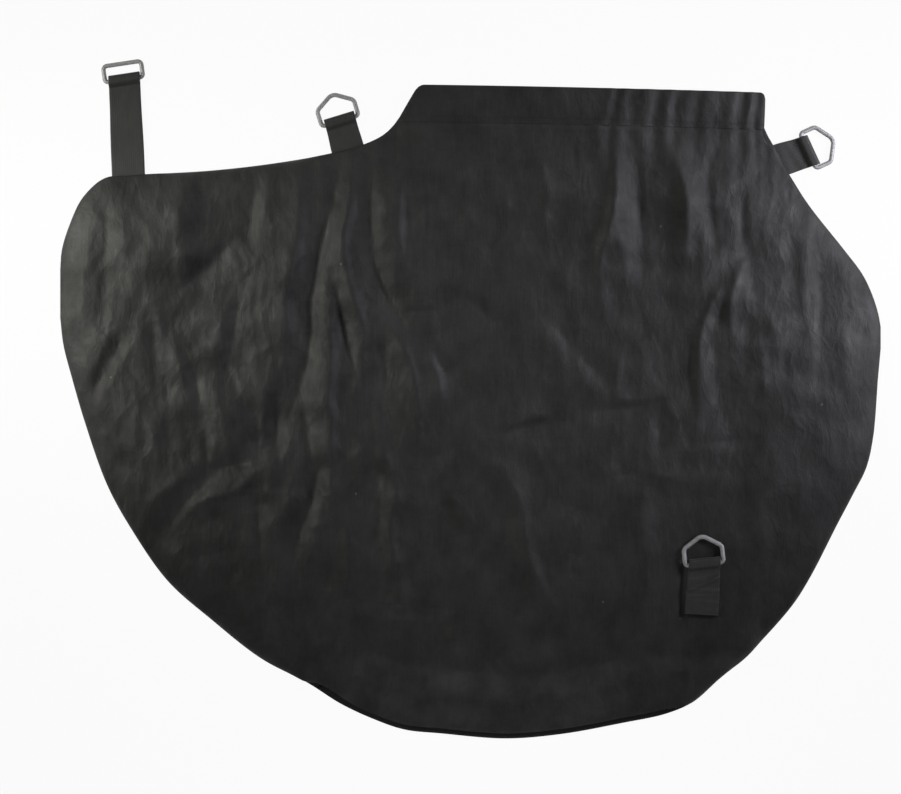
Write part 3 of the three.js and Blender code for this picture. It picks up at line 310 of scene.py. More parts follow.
def crease_rise(x, y, line, before, after, height):
    """One crease: its height falls off as an exponential of the distance, at a different rate on each
    side of the line, so the crest stays sharp, and as a bell beyond its two ends. It starts low at its
    first point, and eases a little at its last one."""
    rise = np.zeros_like(x)
    margin = 5 * max(before, after)
    low, high = line.min(axis=0) - margin, line.max(axis=0) + margin
    near = (x > low[0]) & (x < high[0]) & (y > low[1]) & (y < high[1])
    if not near.any():
        return rise
    px, py = x[near], y[near]
    nearest, offset, beyond = np.full_like(px, np.inf), np.zeros_like(px), np.zeros_like(px)
    arc, begun = np.zeros_like(px), 0.0
    for start, end in zip(line[:-1], line[1:]):
        run = end - start
        length = np.hypot(*run)
        along = ((px - start[0]) * run[0] + (py - start[1]) * run[1]) / length
        side = ((px - start[0]) * run[1] - (py - start[1]) * run[0]) / length
        past = np.maximum(0, np.abs(along - length / 2) - length / 2)
        closer = np.hypot(past, side) < nearest
        nearest[closer] = np.hypot(past, side)[closer]
        offset[closer], beyond[closer] = side[closer], past[closer]
        arc[closer] = begun + np.clip(along, 0, length)[closer]
        begun += length
    reach = np.where(offset < 0, before, after)
    crest = np.exp(CREST_SOFTNESS - np.hypot(offset / reach, CREST_SOFTNESS))
    done = arc / begun
    grown = mix(CREASE_START, 1, ease(done / CREASE_GROWTH))
    taper = grown * mix(CREASE_END, 1, ease((1 - done) / CREASE_FALL))
    rise[near] = height * taper * crest * bell(beyond / (1.2 * min(before, after) + 3))
    return rise


def crumples(x, y, seed, count):
    """Seeded small creases, short and mostly upright, closer together and sharper to the left."""
    chance = np.random.default_rng(seed)
    total = np.zeros_like(x)
    for _ in range(count):
        place = -372 + 744 * chance.random() ** CRUMPLE_CROWDING, chance.uniform(-290, 250)
        turn = math.radians(chance.normal(*CRUMPLE_TURN))
        half = chance.uniform(*CRUMPLE_HALF)
        left = 1 - ease((place[0] + 60) / 200)
        reach = chance.uniform(*CRUMPLE_REACH, 2) + 2.5 * (1 - left)
        height = chance.choice((-1, 1)) * chance.uniform(*CRUMPLE_HEIGHT) * (0.4 + 0.9 * left)
        bend = chance.normal(0, CRUMPLE_BEND) * half
        along = np.array([math.cos(turn), math.sin(turn)])
        aside = np.array([-along[1], along[0]])
        line = np.array([place - along * half, place + aside * bend, place + along * half])
        total += crease_rise(x, y, line, *reach, height)
    return total


def undulation(x, y, seed, count, shortest, longest):
    """Seeded sum of plane waves of many directions and lengths, about 1 high at its peaks."""
    chance = np.random.default_rng(seed)
    total = np.zeros_like(x)
    for _ in range(count):
        turn, length = chance.uniform(0, np.pi), chance.uniform(shortest, longest)
        turns = (x * math.cos(turn) + y * math.sin(turn)) / length
        total += np.sin(2 * np.pi * turns + chance.uniform(0, 6.3))
    return total / math.sqrt(2 * count)


def edge_y(line, x):
    """Height of an edge at x, from the middle of the bag's box."""
    return np.interp(x, line[:, 0], line[:, 1])


def along_zip(x, left, right):
    """1 along the zip, and an ease to 0 at both ends, given as its reach beyond the end and its length."""
    return ease((x - ZIP_LEFT + left[0]) / left[1]) * ease((ZIP_RIGHT + right[0] - x) / right[1])


def lip_width(x):
    """How far the front panel stays back from the bag's edge over the zip, with a notch at its left."""
    x = x + DRAWING[0]
    lip = ZIP_LIP + ZIP_NOTCH * bell((x - ZIP_LEFT) / ZIP_NOTCH_LENGTH - 1)
    return along_zip(x, (14, 18), (12, 30)) * lip


def hem_share(x):
    """Share of the mouth's width at x, from 0 at the hem's left end to 1 at its right end."""
    return np.clip((x - HEM_LOW[0, 0]) / (HEM_LOW[1, 0] - HEM_LOW[0, 0]), 0, 1)


def hem_low_y(x):
    """Height of the hem's sewn edge at x, from the middle of the bag's box."""
    return mix(HEM_LOW[0, 1], HEM_LOW[1, 1], hem_share(x))


def gather_wave(share, phase=0.0):
    """Puckers along the right of the hem: a cosine that is 1 at each noted crest, under uneven heights."""
    x = mix(HEM_LOW[0, 0], HEM_LOW[1, 0], share) + DRAWING[0]
    turns = np.interp(x, GATHER_CRESTS, np.arange(len(GATHER_CRESTS)))
    strength = np.interp(x, GATHER_CRESTS, GATHER_HEIGHTS)
    return np.cos(2 * np.pi * turns + phase) * strength


def mouth_level(share, settings, phase=0.0):
    """Middle of the front hem: it stands open in a flat arch, and carries the puckers."""
    opened = np.sin(np.pi * share) ** 0.7
    rise = settings.mouth_rise / MM * opened
    return FRONT_MOUTH_Z + rise + settings.gather_height / MM * gather_wave(share, phase)


def seam_points():
    """The sewn edge of the front panel, all the way from the hem's left end round to its right end."""
    bottom = BOTTOM_EDGE + np.stack([np.zeros(len(BOTTOM_EDGE)), lip_width(BOTTOM_EDGE[:, 0])], 1)
    return np.vstack([
        hem_corner(0), LEFT_SHOULDER[::-1][::4], bottom[::4], RIGHT_SHOULDER[::-1][::4], hem_corner(1),
    ])


def hem_corner(end):
    """Where the panel's edge ends between the plies of the hem, at its left (0) or right (1) end."""
    up = HEM_TOP[end] - HEM_LOW[end]
    return HEM_LOW[end] + up * HEM_OVERLAP / np.linalg.norm(up)


def seam_reach(x, y, line):
    """Distance to the sewn edge, the least of the distances to its straight pieces."""
    nearest = np.full_like(x, np.inf)
    for start, end in zip(line[:-1], line[1:]):
        if np.hypot(*(end - start)) > 1e-6:
            nearest = np.minimum(nearest, segment_reach(x, y, start, end))
    return nearest


def near_zip(x, y):
    """1 over the zip and a little beyond it, fading to 0 across the panel."""
    inwards = y - edge_y(BOTTOM_EDGE, x)
    return along_zip(x + DRAWING[0], (12, 14), (12, 14)) * ease((62 - inwards) / 30)


def strap_start(line, x, heading):
    """Raw end of a loop that is caught in a seam, and the place where it leaves the seam."""
    seam = np.array([x - DRAWING[0], edge_y(line, x - DRAWING[0])])
    turn = math.radians(heading)
    return seam - STRAP_INSERT * np.array([math.cos(turn), math.sin(turn)]), seam


def strap_facts():
    """All that a loop's shape needs, for the four loops."""
    facts = {}
    for name, line, x, heading, skew, length in (
        ("long", LEFT_SHOULDER, -310.7, 92.5, 6.0, 87.0),
        ("neck", LEFT_SHOULDER, -111.4, 105.0, 2.0, 26.6),
        ("side", RIGHT_SHOULDER, 281.8, 17.7, 7.0, 25.9),
    ):
        start, seam = strap_start(line, x, heading)
        facts[name] = {
            "start": start, "seam": seam, "heading": heading, "skew": skew,
            "length": length + STRAP_INSERT, "base": PLY_STEP, "rest": 0.0,
        }
    level = FRONT_PATCH_Z + CLOTH / 2 + GAP
    facts["front"] = {
        "start": np.array([208.7, -194.5]) - DRAWING, "seam": None, "heading": 86.8, "skew": 8.8,
        "length": 46.0, "base": level, "rest": level,
    }
    for name, strap in facts.items():
        strap["ring"] = LONG_RING if name == "long" else D_RING
        strap["eye"] = strap["ring"]["wire"] / 2 + GAP
    return facts


STRAPS = strap_facts()

# Creases across the upper ply of each loop: how far up it, their slant, reach and height
STRAP_CREASES = {
    "long": ((30, 0.1, 9, 0.7), (58, -0.15, 12, 0.9), (82, 0.1, 6, 0.6)),
    "neck": ((24, 0.2, 5, 0.6),),
    "side": ((25, -0.2, 4, 0.5),),
    "front": (
        (4, 0.05, 3, 0.6), (12, 0.1, 1.8, 0.6), (17, -0.08, 1.5, 0.7), (22, 0.06, 1.6, 0.9),
        (28, -0.4, 2.6, 2.2), (31.8, 0, 2.2, 1.6),
    ),
}
SEAM = seam_points()


def seat_height(x, y):
    """Lift of the front panel over what lies beneath its edge: the loops' raw ends and the slider."""
    lift = ZIP_SEAT * near_zip(x, y)
    for name in ("long", "neck", "side"):
        seam = STRAPS[name]["seam"]
        reach = np.hypot(x - seam[0], y - seam[1])
        far = reach - WEBBING_WIDTH / 2 - SEAT_REACH
        lift = np.maximum(lift, (2 * WEBBING + 2 * GAP) * ease(1 - far / SEAT_FADE))
    slider = ZIP_LEFT + SLIDER_PLACE[0]
    reach = np.hypot(x - slider, y - edge_y(BOTTOM_EDGE, slider) - SLIDER_PLACE[1])
    return np.maximum(lift, SLIDER_LIFT * ease(1 - (reach - SLIDER_REACH) / SLIDER_FADE))


def patch_share(x, y):
    """1 on the level ground under the loop that is sewn on the panel's face, fading to 0 round it."""
    start = STRAPS["front"]["start"]
    out_x = np.maximum(0, np.abs(x - start[0]) - PATCH_HALF[0])
    out_y = np.maximum(0, np.abs(y - start[1] - PATCH_MIDDLE) - PATCH_HALF[1])
    return ease(1 - np.hypot(out_x, out_y) / PATCH_FADE)


def panel_relief(x, y, settings):
    """Folds, creases, crumples and undulations of the front panel. Below a depth, they ease off as an
    exponential."""
    relief = FOLD_SHARE * fold_height(x, y, MAIN_FOLDS)
    for *places, before, after, height in CREASES:
        points = np.reshape(places, (-1, 2))
        line = edge_line(points, 3) if len(points) > 2 else points - DRAWING
        relief += settings.crease_strength * crease_rise(x, y, line, before, after, height)
    relief += settings.crumple_strength * crumples(x, y, CRUMPLE_SEED, CRUMPLE_COUNT)
    for height, *waves in UNDULATIONS:
        relief += height * undulation(x, y, *waves)
    below = np.minimum(relief - DEEPEST, 0)
    return np.maximum(relief, DEEPEST) - DEEPEST_EASE * (1 - np.exp(below / DEEPEST_EASE))


def loop_dent(x, y):
    """Dent in the panel along the left side of the loop on its face: a bell of the distance."""
    px, py = x - STRAPS["front"]["start"][0], y - STRAPS["front"]["start"][1]
    beside = np.maximum(-WEBBING_WIDTH / 2 - px, 0) + np.maximum(0, np.abs(py - 24) - 26)
    return DENT * bell(beside / DENT_REACH) * ease((-WEBBING_WIDTH / 2 + 1.5 - px) / 2.5)


def front_height(x, y, settings):
    """Middle of the front panel: it rises from the seam as an exponential, carries its relief, lies
    level under the front loop, and meets the hem along a bell. A bead, the product of a rising and a
    falling exponential, runs beside the seam, and a low swell beside the hem's stitches."""
    distance = seam_reach(x, y, SEAM)
    slack = 1 - np.exp(-distance / EDGE_ROUNDING)
    at_zip, on_patch = near_zip(x, y), patch_share(x, y)
    rise = (settings.loft / MM + panel_relief(x, y, settings)) * slack * (1 - ZIP_HOLD * at_zip)
    height = mix(SEAM_Z + np.hypot(rise, seat_height(x, y)), FRONT_PATCH_Z, on_patch)
    away = segment_reach(x, y, HEM_LOW[0], HEM_LOW[1])
    above = np.where(y > HEM_LOW[0, 1] - 12, 0, away)
    height = mix(height, mouth_level(hem_share(x), settings), bell(np.minimum(above, away) / MOUTH_REACH))
    bead = BEAD * (1 - np.exp(-distance / BEAD_START)) * np.exp(-distance / BEAD_FADE)
    bead *= (1 - BEAD_LOST_AT_ZIP * at_zip) * (1 - on_patch) * (1 - bell(away / BEAD_FADE))
    swell = SWELL * ease((away - 0.2) / SWELL_START) * np.exp(-away / SWELL_FADE)
    return height + bead + np.where(y < hem_low_y(x), swell, 0) - loop_dent(x, y)


def cloth_points(x, y, height):
    """The points of a surface from its three coordinate arrays."""
    return np.stack([x, y, height], axis=-1)


def two_skins(x, y, middle, thickness):
    """Outer and inner skin of a sheet: its middle, moved up and down by half its thickness."""
    return tuple(cloth_points(x, y, middle + side * thickness / 2) for side in (1, -1))


def even_then_fine(count, end, ratio=0.1):
    """Values from 0 to 1, even in the middle and closing up at both ends: the running sum of a step
    that falls exponentially to ratio of its size within the share end of each side."""
    middle = (np.arange(count) + 0.5) / count
    side = np.minimum(middle, 1 - middle)
    step = 1 - (1 - ratio) * np.exp(-side / end)
    return np.concatenate([[0], np.cumsum(step)]) / step.sum()


def panel_grid(columns, rows, lip):
    """Grid of a panel: columns run from the bottom edge to the shoulder, or up between the hem's plies.
    The columns are shared out so that both ends of the hem fall on one of them."""
    left, right = BOTTOM_EDGE[0, 0], BOTTOM_EDGE[-1, 0]
    u = even_then_fine(columns, 0.03, 0.02)
    x = left + (right - left) * u
    for corner in (HEM_LOW[0, 0], HEM_LOW[1, 0]):
        x[np.argmin(np.abs(x - corner))] = corner
    low = edge_y(BOTTOM_EDGE, x) + lip * lip_width(x)
    shoulder = np.where(x < 0, edge_y(LEFT_SHOULDER, x), edge_y(RIGHT_SHOULDER, x))
    ends = np.array([hem_corner(0), hem_corner(1)])
    inner = np.interp(x, [HEM_LOW[0, 0], ends[0, 0], ends[1, 0]], [HEM_LOW[0, 1], ends[0, 1], ends[1, 1]])
    inside = (x >= HEM_LOW[0, 0]) & (x < HEM_LOW[1, 0])
    top = np.where(inside, inner, shoulder)
    v = even_then_fine(rows, 0.02, 0.2)
    y = low[:, None] + (top - low)[:, None] * v[None, :]
    return np.broadcast_to(x[:, None], y.shape).copy(), y


def quads(first, second, third, fourth):
    """Faces from four equal arrays of corner numbers."""
    return np.stack([a.ravel() for a in (first, second, third, fourth)], axis=1)


def cloth_solid(outer, inner):
    """Closed sheet from its outer and inner skins, of one grid. The inner skin keeps every other line,
    and five-cornered faces close the rim between the two."""
    wide, deep = outer.shape[0] - 1, outer.shape[1] - 1
    top = np.arange(outer.shape[0] * outer.shape[1]).reshape(outer.shape[:2])
    inner = inner[::2, ::2]
    low = top.size + np.arange(inner.shape[0] * inner.shape[1]).reshape(inner.shape[:2])
    faces = [
        quads(top[:-1, :-1], top[1:, :-1], top[1:, 1:], top[:-1, 1:]),
        quads(low[:-1, :-1], low[:-1, 1:], low[1:, 1:], low[1:, :-1]),
    ]
    for upper, under in (
        (top[:, 0], low[:, 0]), (top[wide, :], low[-1, :]),
        (top[::-1, deep], low[::-1, -1]), (top[0, ::-1], low[0, ::-1]),
    ):
        faces.append(np.stack([under[:-1], under[1:], upper[2::2], upper[1::2], upper[:-2:2]], axis=1))
    return np.vstack([outer.reshape(-1, 3), inner.reshape(-1, 3)]), faces


def swept_solid(rings, closed):
    """Closed skin over a row of rings of points. Its ends are joined, or else each gets a cap."""
    count, sides = rings.shape[:2]
    index = np.arange(count * sides).reshape(count, sides)
    ahead = np.roll(index, -1, axis=0) if closed else index[1:]
    here = index if closed else index[:-1]
    faces = [quads(here, ahead, np.roll(ahead, -1, axis=1), np.roll(here, -1, axis=1))]
    if not closed:
        faces += [index[0][None, :], index[-1][None, ::-1]]
    return rings.reshape(-1, 3), faces


def signed_volume(points, faces):
    """Volume inside the faces, negative where they point inwards: a sum over fans of triangles."""
    total = 0.0
    for group in faces:
        corner = points[group[:, 0]]
        for step in range(1, group.shape[1] - 1):
            second, third = points[group[:, step]], points[group[:, step + 1]]
            total += np.einsum("ij,ij->", corner, np.cross(second, third))
    return total / 6


def new_piece(name, points, faces, material, body, slot, replaced=(), uv=None):
    """Puts points in millimetres and arrays of corner numbers into one object at the origin. Its faces
    point outwards, and it rides on a body."""
    if signed_volume(points, faces) < 0:
        faces = [group[:, ::-1] for group in faces]
    mesh = bpy.data.meshes.new(name)
    mesh.from_pydata(points * MM, [], [corners for group in faces for corners in group.tolist()])
    mesh.validate()
    mesh.shade_smooth()
    if uv is not None:
        used = np.concatenate([group.ravel() for group in faces])
        mesh.uv_layers.new(name="Weave").data.foreach_set("uv", (uv * MM)[used].astype(np.float32).ravel())
    mesh.materials.append(material)
    piece = bpy.data.objects.new(name, mesh)
    bpy.context.scene.collection.objects.link(piece)
    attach(piece, body)
    if replaced:
        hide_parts(*replaced)
    return piece


# Materials


def fill(tree, socket, value):
    """Links a socket to another one, or sets it to a plain value."""
    if isinstance(value, bpy.types.NodeSocket):
        tree.links.new(value, socket)
    else:
        socket.default_value = value


def wire(tree, kind, inputs=None, **settings):
    """Adds a node. An input that is given a socket is linked to it, and any other is set."""
    made = tree.nodes.new(kind)
    for key, value in settings.items():
        setattr(made, key, value)
    for key, value in (inputs or {}).items():
        fill(tree, made.inputs[key], value)
    return made


def emptied_tree(owner):
    """The node tree of a new material or world, without the nodes that it starts with."""
    owner.use_nodes = True
    owner.node_tree.nodes.clear()
    return owner.node_tree


def new_material(name):
    """An empty node material with its output, and the shader that the finish goes into."""
    material = bpy.data.materials.new(name)
    tree = emptied_tree(material)
    shader = wire(tree, "ShaderNodeBsdfPrincipled")
    wire(tree, "ShaderNodeOutputMaterial", {"Surface": shader.outputs["BSDF"]})
    return material, tree, shader


def object_place(tree):
    """Object coordinates, in metres."""
    return wire(tree, "ShaderNodeTexCoord").outputs["Object"]


def stretched(tree, place, scale):
    """Coordinates on which a pattern of cells 1 long gets cells 1/scale long on each axis."""
    return wire(tree, "ShaderNodeMapping", {"Vector": place, "Scale": scale}).outputs["Vector"]


def noise(tree, place, scale, detail=2.0, roughness=0.5, distortion=0.0):
    """Value of a noise pattern whose cells are 1/scale long on each axis."""
    return wire(tree, "ShaderNodeTexNoise", {
        "Vector": stretched(tree, place, scale), "Scale": 1.0, "Detail": detail,
        "Roughness": roughness, "Distortion": distortion,
    }).outputs["Fac"]


def wave(tree, place, scale, distortion, direction):
    """Value of straight bands across a direction, a little distorted."""
    return wire(tree, "ShaderNodeTexWave", {
        "Vector": place, "Scale": scale, "Distortion": distortion, "Detail": 1.0, "Detail Scale": 2.0,
    }, bands_direction=direction).outputs["Fac"]


def scattered(tree, place, scale):
    """Distance to the nearest of points that lie scattered, one to each cell of 1/scale."""
    return wire(tree, "ShaderNodeTexVoronoi", {"Vector": stretched(tree, place, scale), "Scale": 1.0},
                voronoi_dimensions="2D").outputs["Distance"]


def vector_step(tree, operation, first, second):
    """A node for one step on two vectors."""
    return wire(tree, "ShaderNodeVectorMath", {0: first, 1: second}, operation=operation)


def facet(tree, place, scale):
    """Value of a pattern of sharp-edged facets: the distance to the nearest of scattered points, on
    coordinates that a noise has bent."""
    bend = wire(tree, "ShaderNodeTexNoise", {"Vector": place, "Scale": 34.0, "Detail": 2.0})
    bent = vector_step(tree, "MULTIPLY", bend.outputs["Color"], (0.016, 0.02, 0.0))
    moved = vector_step(tree, "ADD", place, bent.outputs["Vector"])
    return scattered(tree, moved.outputs["Vector"], scale)


def closeness(tree, place, centre, near, far, high):
    """High within a reach of a point, a half beyond a further one, and a blend between."""
    away = vector_step(tree, "DISTANCE", place, centre).outputs["Value"]
    return remap(tree, away, near, far, high, 0.5)


def remap(tree, value, low, high, start=0.0, end=1.0):
    """Stretches a value from low..high to start..end."""
    return wire(tree, "ShaderNodeMapRange", {
        "Value": value, "From Min": low, "From Max": high, "To Min": start, "To Max": end,
    }).outputs["Result"]


def combine(tree, operation, first, second):
    """One arithmetic step on two values."""
    return wire(tree, "ShaderNodeMath", {0: first, 1: second}, operation=operation).outputs["Value"]


def plus(tree, first, second):
    """Sum of two values."""
    return combine(tree, "ADD", first, second)


def times(tree, first, second):
    """Product of two values."""
    return combine(tree, "MULTIPLY", first, second)


def blend_colours(tree, share, first, second):
    """Colour between two, by a share."""
    return wire(tree, "ShaderNodeMix", {0: share, 6: first, 7: second}, data_type="RGBA").outputs[2]


def shade(colour, factor):
    """A colour made lighter or darker, with its alpha."""
    return (*[min(1.0, channel * factor) for channel in colour[:3]], 1.0)


def tinted(tree, share, colour, dark, light):
    """Colour between a darker and a lighter shade of one, by a share."""
    return blend_colours(tree, share, shade(colour, dark), shade(colour, light))


def dress(tree, shader, inputs, *bumps):
    """Fills the shader's inputs, and lays its bumps over one another: height, strength and distance."""
    normal = {}
    for height, strength, distance in bumps:
        bump = wire(tree, "ShaderNodeBump", {
            "Height": height, "Strength": strength, "Distance": distance, **normal,
        })
        normal = {"Normal": bump.outputs["Normal"]}
    for key, value in {**inputs, **normal}.items():
        fill(tree, shader.inputs[key], value)


def woven_nylon(name, colour):
    """Dark plain-woven nylon: warp and weft threads, soft blotches, a few specks of lint, and shallow
    crumples that are stronger on the left and at the right shoulder."""
    material, tree, shader = new_material(name)
    place = object_place(tree)
    warp = noise(tree, place, (900, 28, 1), 2.0, 0.6)
    weft = noise(tree, place, (34, 800, 1), 2.0, 0.6)
    threads = plus(tree, warp, times(tree, weft, 0.28))
    mottle = remap(tree, noise(tree, place, (30, 23, 1), 6.0, 0.66), 0.34, 0.66)
    tone = plus(tree, times(tree, remap(tree, threads, 0.42, 0.84), 0.6), mottle)
    cloth = tinted(tree, remap(tree, tone, 0.2, 1.4), colour, 0.5, 1.55)
    clear = remap(tree, scattered(tree, place, (5, 4, 1)), 0.0025, 0.0055)
    rough = plus(tree, remap(tree, mottle, 0.0, 1.0, 0.71, 0.6), remap(tree, warp, 0.3, 0.7, -0.04, 0.06))
    slack = combine(tree, "MAXIMUM", closeness(tree, place, (-0.23, -0.04, 0.02), 0.12, 0.3, 0.95),
                    closeness(tree, place, (0.23, 0.13, 0.02), 0.05, 0.2, 0.85))
    facets = plus(tree, facet(tree, place, (40, 21, 1)), times(tree, facet(tree, place, (95, 52, 1)), 0.45))
    wrinkles = noise(tree, place, (75, 40, 40), 4.0, 0.62, 0.6)
    crumple = plus(tree, times(tree, facets, slack), times(tree, wrinkles, 0.6))
    dress(tree, shader, {
        "Base Color": blend_colours(tree, clear, shade(colour, 5), cloth), "Roughness": rough,
        "Sheen Weight": 0.06, "Sheen Roughness": 0.4, "Specular IOR Level": 0.45,
    }, (crumple, 0.6, 0.003), (threads, 0.2, 0.0002))
    return material


def ribbed_webbing(name, colour):
    """Webbing: lengthwise cords crossed by picks, read from the piece's own map in metres."""
    material, tree, shader = new_material(name)
    place = wire(tree, "ShaderNodeUVMap", uv_map="Weave").outputs["UV"]
    picks = wave(tree, place, 250.0, 0.8, "Y")
    relief = plus(tree, wave(tree, place, 170.0, 0.6, "X"), times(tree, picks, 0.4))
    wear = noise(tree, place, (160, 60, 1), 3.0, 0.6)
    tone = plus(tree, times(tree, relief, 0.2), times(tree, wear, 1.05))
    dress(tree, shader, {
        "Base Color": tinted(tree, remap(tree, tone, 0.4, 1.2), colour, 0.75, 1.25),
        "Roughness": remap(tree, relief, 0.0, 1.6, 0.7, 0.5), "Sheen Weight": 0.2, "Sheen Roughness": 0.4,
    }, (relief, 0.3, 0.00022))
    return material


def knitted_strip(name, colour, across, along):
    """Fine woven or knitted trim on object coordinates: two crossed noises of thread width."""
    material, tree, shader = new_material(name)
    place = object_place(tree)
    cross = noise(tree, place, along, 2.0, 0.6)
    relief = plus(tree, noise(tree, place, across, 2.0, 0.6), times(tree, cross, 0.7))
    dress(tree, shader, {
        "Base Color": tinted(tree, remap(tree, relief, 0.5, 1.2), colour, 0.6, 1.5),
        "Roughness": remap(tree, relief, 0.5, 1.2, 0.85, 0.65),
    }, (relief, 0.5, 0.0003))
    return material


def plated_steel(name, colour, metallic, roughness):
    """Dull metal: cloudy plating, small scratches and a slightly uneven skin."""
    material, tree, shader = new_material(name)
    place = object_place(tree)
    cloud = noise(tree, place, (260, 260, 260), 4.0, 0.6)
    scratch = noise(tree, place, (1900, 240, 700), 2.0, 0.7)
    rough = remap(tree, cloud, 0.3, 0.7, roughness - 0.07, roughness + 0.07)
    dress(tree, shader, {
        "Base Color": tinted(tree, remap(tree, cloud, 0.3, 0.7), colour, 0.8, 1.2),
        "Roughness": plus(tree, rough, remap(tree, scratch, 0.55, 0.75, 0.0, 0.12)), "Metallic": metallic,
    }, (scratch, 0.15, 0.0002))
    return material


def moulded_nylon(name, colour):
    """Moulded coil teeth: dark plastic with a faint cloud and a soft gloss."""
    material, tree, shader = new_material(name)
    cloud = noise(tree, object_place(tree), (500, 500, 500), 3.0, 0.5)
    dress(tree, shader, {
        "Base Color": tinted(tree, cloud, colour, 0.7, 1.4),
        "Roughness": remap(tree, cloud, 0.3, 0.7, 0.35, 0.5),
    })
    return material


def sewing_thread(name, colour):
    """Twisted thread: a fine slanting wave of light and dark."""
    material, tree, shader = new_material(name)
    twist = wire(tree, "ShaderNodeTexWave", {
        "Vector": object_place(tree), "Scale": 420.0, "Distortion": 1.0,
    }, bands_direction="DIAGONAL").outputs["Fac"]
    dress(tree, shader, {
        "Base Color": tinted(tree, twist, colour, 0.6, 1.5),
        "Roughness": remap(tree, twist, 0.0, 1.0, 0.75, 0.6),
    })
    return material


# Finishes: what makes each, its colour or the setting that holds it, and the rest that its maker takes
FINISHES = {
    "woven_nylon": (woven_nylon, "cloth_colour"),
    "ribbed_webbing": (ribbed_webbing, "webbing_colour"),
    "sewing_thread": (sewing_thread, "thread_colour"),
    "zip_tape_cloth": (knitted_strip, "tape_colour", (900, 300, 1), (240, 1100, 1)),
    "knitted_elastic": (knitted_strip, "tape_colour", (700, 700, 1), (90, 1500, 1)),
    "coil_nylon": (moulded_nylon, "tape_colour"),
    "plated_ring_steel": (plated_steel, "ring_colour", 0.4, 0.6),
    "lacquered_casting": (plated_steel, (0.05, 0.05, 0.055), 0.6, 0.4),
}

# Solids that stay in view, and the finish of each
KEPT_SOLIDS = {
    "zip_tape_upper": "zip_tape_cloth", "zip_slider": "lacquered_casting", "zip_pull": "lacquered_casting",
    "back_elastic": "knitted_elastic",
}
MATERIALS = {}


def finish(name):
    """The material of that name, made once."""
    if name not in MATERIALS:
        maker, colour, *facts = FINISHES[name]
        if isinstance(colour, str):
            colour = tuple(getattr(bpy.context.scene.leaf_bag, colour))
        MATERIALS[name] = maker(name, colour, *facts)
    return MATERIALS[name]


# Surfaces of each piece


def front_panel_skins(settings):
    """Outer and inner skin of the front panel."""
    x, y = panel_grid(296, 240, 1.0)
    return two_skins(x, y, front_height(x, y, settings), CLOTH)


def back_panel_skins():
    """Outer and inner skin of the back panel: flat on the ground, and lifted along the hem."""
    x, y = panel_grid(180, 130, 0.0)
    inside = (x > HEM_LOW[0, 0]) & (x < HEM_LOW[1, 0]) & (y > hem_low_y(x))
    away = np.where(inside, 0, segment_reach(x, y, HEM_LOW[0], HEM_LOW[1]))
    return two_skins(x, y, BACK_Z + (BACK_MOUTH_Z - BACK_Z) * ease(1 - away / 12), CLOTH)


HEM_FOLD = HEM_HEIGHT - PLY_STEP - CLOTH / 2


def hem_place(share, climb):
    """Place on the flat hem, at shares of the mouth's width and of the way up from the sewn edge."""
    low, top = ([mix(left, right, share) for left, right in zip(*line)] for line in (HEM_LOW, HEM_TOP))
    return mix(low[0], top[0], climb), mix(low[1], top[1], climb)


def hem_phase(share, along):
    """Slow waver of the puckers up the hem: a sine."""
    return 0.5 * np.sin(along / 11 + share * 8)


def hem_swell(along, puff):
    """Swelling of a hem's outer ply over its elastic, a half sine, with a dip at its stitches."""
    swell = puff * np.sin(np.pi * np.clip((along - 4) / (HEM_FOLD - 4), 0, 1))
    return swell - 0.25 * bell((along - STITCH_ROW) / 1.3)


def hem_skins(level_of, puff):
    """Outer and inner skin of a hem. Its section runs up the outer ply, round the fold and back under:
    a straight, a half circle and a straight. The outer ply thins out to its sewn lower end, and the fold's
    line runs down in a quarter circle at both ends of the mouth."""
    share = np.linspace(0, 1, 301)[:, None]
    rise = np.concatenate([[0, 1, 2, 3], np.linspace(4, HEM_FOLD, 21)])
    turn = np.linspace(np.pi / 2, -np.pi / 2, 13)[1:-1]
    back = rise[::-2]
    along = np.concatenate([rise, HEM_FOLD + PLY_STEP * np.cos(turn), back])[None, :]
    outer = np.concatenate([np.ones_like(rise), np.zeros_like(turn), np.zeros_like(back)])[None, :]
    normal_out = np.concatenate([np.ones_like(rise), np.sin(turn), -np.ones_like(back)])[None, :]
    normal_up = np.concatenate([np.zeros_like(rise), np.cos(turn), np.zeros_like(back)])[None, :]
    thin = outer * (1 - ease(along / SEWN_LENGTH))
    out = mix(PLY_STEP * normal_out, SEWN_MIDDLE, thin)
    half = mix(CLOTH / 2, SEWN_HALF, thin)
    level = level_of(share, hem_phase(share, along))
    inwards = np.maximum(0, HEM_CORNER - np.hypot(*(HEM_LOW[1] - HEM_LOW[0])) * np.minimum(share, 1 - share))
    reach = (HEM_HEIGHT - HEM_CORNER + np.sqrt(HEM_CORNER**2 - inwards**2)) / HEM_HEIGHT
    skins = []
    for side in (1, -1):
        height = level + out + outer * hem_swell(along, puff) + side * half * normal_out
        climb = (along + side * half * normal_up) / HEM_HEIGHT * reach
        skins.append(cloth_points(*hem_place(share, climb), height))
    return skins


def hem_stitches(level_of, along, puff):
    """Starts and ends of the stitches across the mouth, at a distance up a hem's outer ply."""
    ends = []
    for shift in (0, 2.5):
        share = (np.arange(3, 327, 3.4) + shift) / 333
        x, y = hem_place(share, along / HEM_HEIGHT)
        face = mix(PLY_STEP + CLOTH / 2, SEWN_MIDDLE + SEWN_HALF, 1 - ease(along / SEWN_LENGTH))
        out = face + hem_swell(along, puff) + STITCH_RISE
        ends.append(cloth_points(x, y, level_of(share, hem_phase(share, along)) + out))
    return ends


